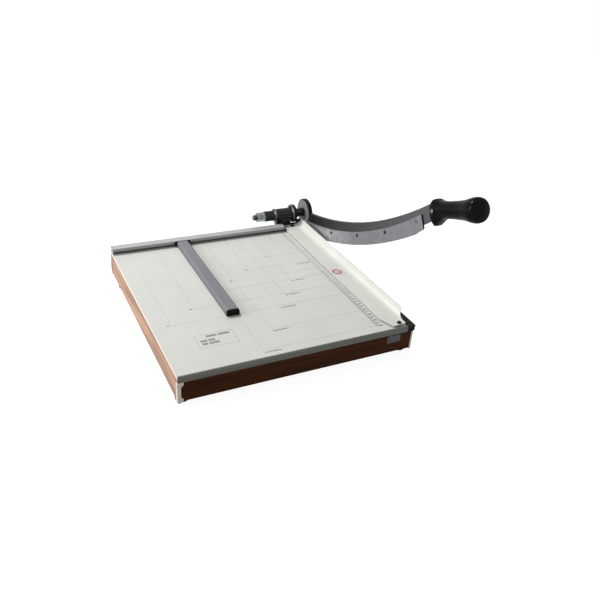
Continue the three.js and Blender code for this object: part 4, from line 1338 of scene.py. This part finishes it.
@dataclass
class BladeArm:
    """The curved arm with its blade and its handle.

    Each set of screws has a name, the numbers of its solids, a finish and a head's outer radius in
    millimetres.
    """

    screw_sets: tuple[tuple[str, tuple[int, ...], Finish, float], ...] = (
        ("blade_screws", (1, 2, 3), BLACK_OXIDE, 2.9),
        ("blade_end_screw", (4,), ZINC, 3.9),
    )
    screw_flare: float = 0.6

    def build(self) -> None:
        """Dresses the arm, the blade and the handle."""
        bolt = sum(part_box("hinge_bolt"), Vector()) / 2
        paint = ArmPaint(
            "worn_dark_paint_on_casting", "101012", "18181a", 0.42, specular=0.08, mottle_mm=16,
            relief_size_mm=2.6, relief_mm=0.05, hub=(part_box("blade")[1].x, bolt.y, bolt.z),
        )
        dress("arm", paint, edge_mm=0.4, crease=28)
        dress("blade", BLADE_STEEL, edge_mm=0.1, crease=28)
        for name, numbers, finish, radius in self.screw_sets:
            Screws(
                name=name,
                nodes=numbered("blade_screw", numbers),
                finish=finish,
                recess=Recess.SLOT,
                head_radius=(radius - self.screw_flare) * MM,
                top_radius=radius * MM,
                head_height=2.2 * MM,
                slot="zinc",
                upright=False,
            ).build()
        dress("handle", PHENOLIC, crease=50)
        dress("handle_pin", ZINC, edge_mm=0.3)


def directly_seen(tree: Tree) -> Socket:
    """Tells rays that show a thing from rays that only carry its light.

    Args:
        tree: The shader tree.

    Returns:
        1 for what is seen straight, mirrored or through glass, and 0 for the rest.
    """
    rays = add(tree, "ShaderNodeLightPath").outputs
    mirrored = reckon(tree, "MAXIMUM", rays["Is Camera Ray"], rays["Is Glossy Ray"])
    return reckon(tree, "MAXIMUM", mirrored, rays["Is Transmission Ray"])


@dataclass
class Studio:
    """Floor, light and the photograph's camera.

    The camera's place is given from the front rail's lower left corner. Each lamp has a name, a place, a
    side and a power in watts.
    """

    camera_offset: Triple = (-0.2377, -0.8039, 0.6927)
    right: Triple = (0.8938, -0.4418, 0.0764)
    down: Triple = (-0.1668, -0.4858, -0.8580)
    ahead: Triple = (0.4162, 0.7542, -0.5080)
    lens: float = 39.63
    sensor: float = 36.0
    clip: tuple[float, float] = (0.01, 60.0)
    floor_size: float = 14.0
    floor_level: float = -0.0002
    floor_lit: str = "c4c4c4"
    floor_seen: str = "8a8a8a"
    floor_glow: float = 0.93
    room_light: float = 0.26
    lamps: tuple[tuple[str, Triple, float, float], ...] = (
        ("top_lamp", (-0.8, 1.5, 2.6), 0.7, 68.0),
        ("side_lamp", (-2.7, 0.6, 1.3), 1.4, 56.0),
    )
    lamp_aim: Triple = (0.0, 0.0, 0.05)

    def camera(self) -> Object:
        """Sets the camera where the photograph's stood.

        Returns:
            The camera.
        """
        data = bpy.data.cameras.new("photo_camera")
        data.sensor_width = self.sensor
        data.lens = self.lens
        data.clip_start, data.clip_end = self.clip
        camera = linked("photo_camera", data)
        turn = Matrix((self.right, -Vector(self.down), -Vector(self.ahead))).transposed().to_4x4()
        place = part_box("front_rail")[0] + Vector(self.camera_offset)
        camera.matrix_world = Matrix.Translation(place) @ turn
        bpy.context.scene.camera = camera
        return camera

    def floor(self) -> Object:
        """Lays a pale floor that keeps the shadow and shows as white.

        Returns:
            The floor.
        """
        material = bpy.data.materials.new("pale_studio_floor")
        tree = shader_tree(material)
        matt, grey = (
            add(tree, "ShaderNodeBsdfDiffuse", inputs={"Color": linear(code)}).outputs[0]
            for code in (self.floor_lit, self.floor_seen)
        )
        glow = {"Color": WHITE, "Strength": self.floor_glow}
        white = add(tree, "ShaderNodeEmission", inputs=glow).outputs[0]
        lit = add(tree, "ShaderNodeAddShader", inputs={0: grey, 1: white}).outputs[0]
        shades = {0: directly_seen(tree), 1: matt, 2: lit}
        mixed = add(tree, "ShaderNodeMixShader", inputs=shades).outputs[0]
        add(tree, "ShaderNodeOutputMaterial", inputs={"Surface": mixed})
        mesh = bpy.data.meshes.new("studio_floor")
        half = self.floor_size / 2
        corners = [(-half, -half, 0), (half, -half, 0), (half, half, 0), (-half, half, 0)]
        mesh.from_pydata(corners, [], [(0, 1, 2, 3)])
        mesh.materials.append(material)
        floor = linked("studio_floor", mesh)
        floor.location.z = self.floor_level
        return floor

    def world(self) -> None:
        """Lights the room evenly, and shows it as white."""
        world = bpy.data.worlds.new("studio_room")
        tree = shader_tree(world)
        strength = ramp(tree, directly_seen(tree), to_low=self.room_light)
        light = {"Color": WHITE, "Strength": strength}
        room = add(tree, "ShaderNodeBackground", inputs=light).outputs[0]
        add(tree, "ShaderNodeOutputWorld", inputs={"Surface": room})
        bpy.context.scene.world = world

    def lamp(self, name: str, place: Triple, size: float, power: float) -> Object:
        """Hangs a square soft lamp that points at the cutter.

        Args:
            name: The lamp's name.
            place: Where it hangs.
            size: Its side.
            power: Its power in watts.

        Returns:
            The lamp.
        """
        data = bpy.data.lights.new(name, "AREA")
        data.size = size
        data.energy = power
        lamp = linked(name, data)
        lamp.rotation_mode = "QUATERNION"
        lamp.rotation_quaternion = (Vector(self.lamp_aim) - Vector(place)).to_track_quat("-Z", "Y")
        lamp.location = place
        return lamp

    def build(self) -> None:
        """Sets up the studio."""
        bpy.context.scene.view_settings.view_transform = "Standard"
        self.camera()
        self.floor()
        self.world()
        for row in self.lamps:
            self.lamp(*row)


def main() -> None:
    """Builds the cutter and the studio."""
    logging.basicConfig(level=logging.INFO, format="%(message)s")
    Studio().build()
    for part in (Bed(), BedPrint(), FixedKnife(), Fence(), PaperStop(), Guard(), Hinge(), BladeArm()):
        part.build()
        LOG.info("built %s", type(part).__name__)


if __name__ == "__main__":
    main()
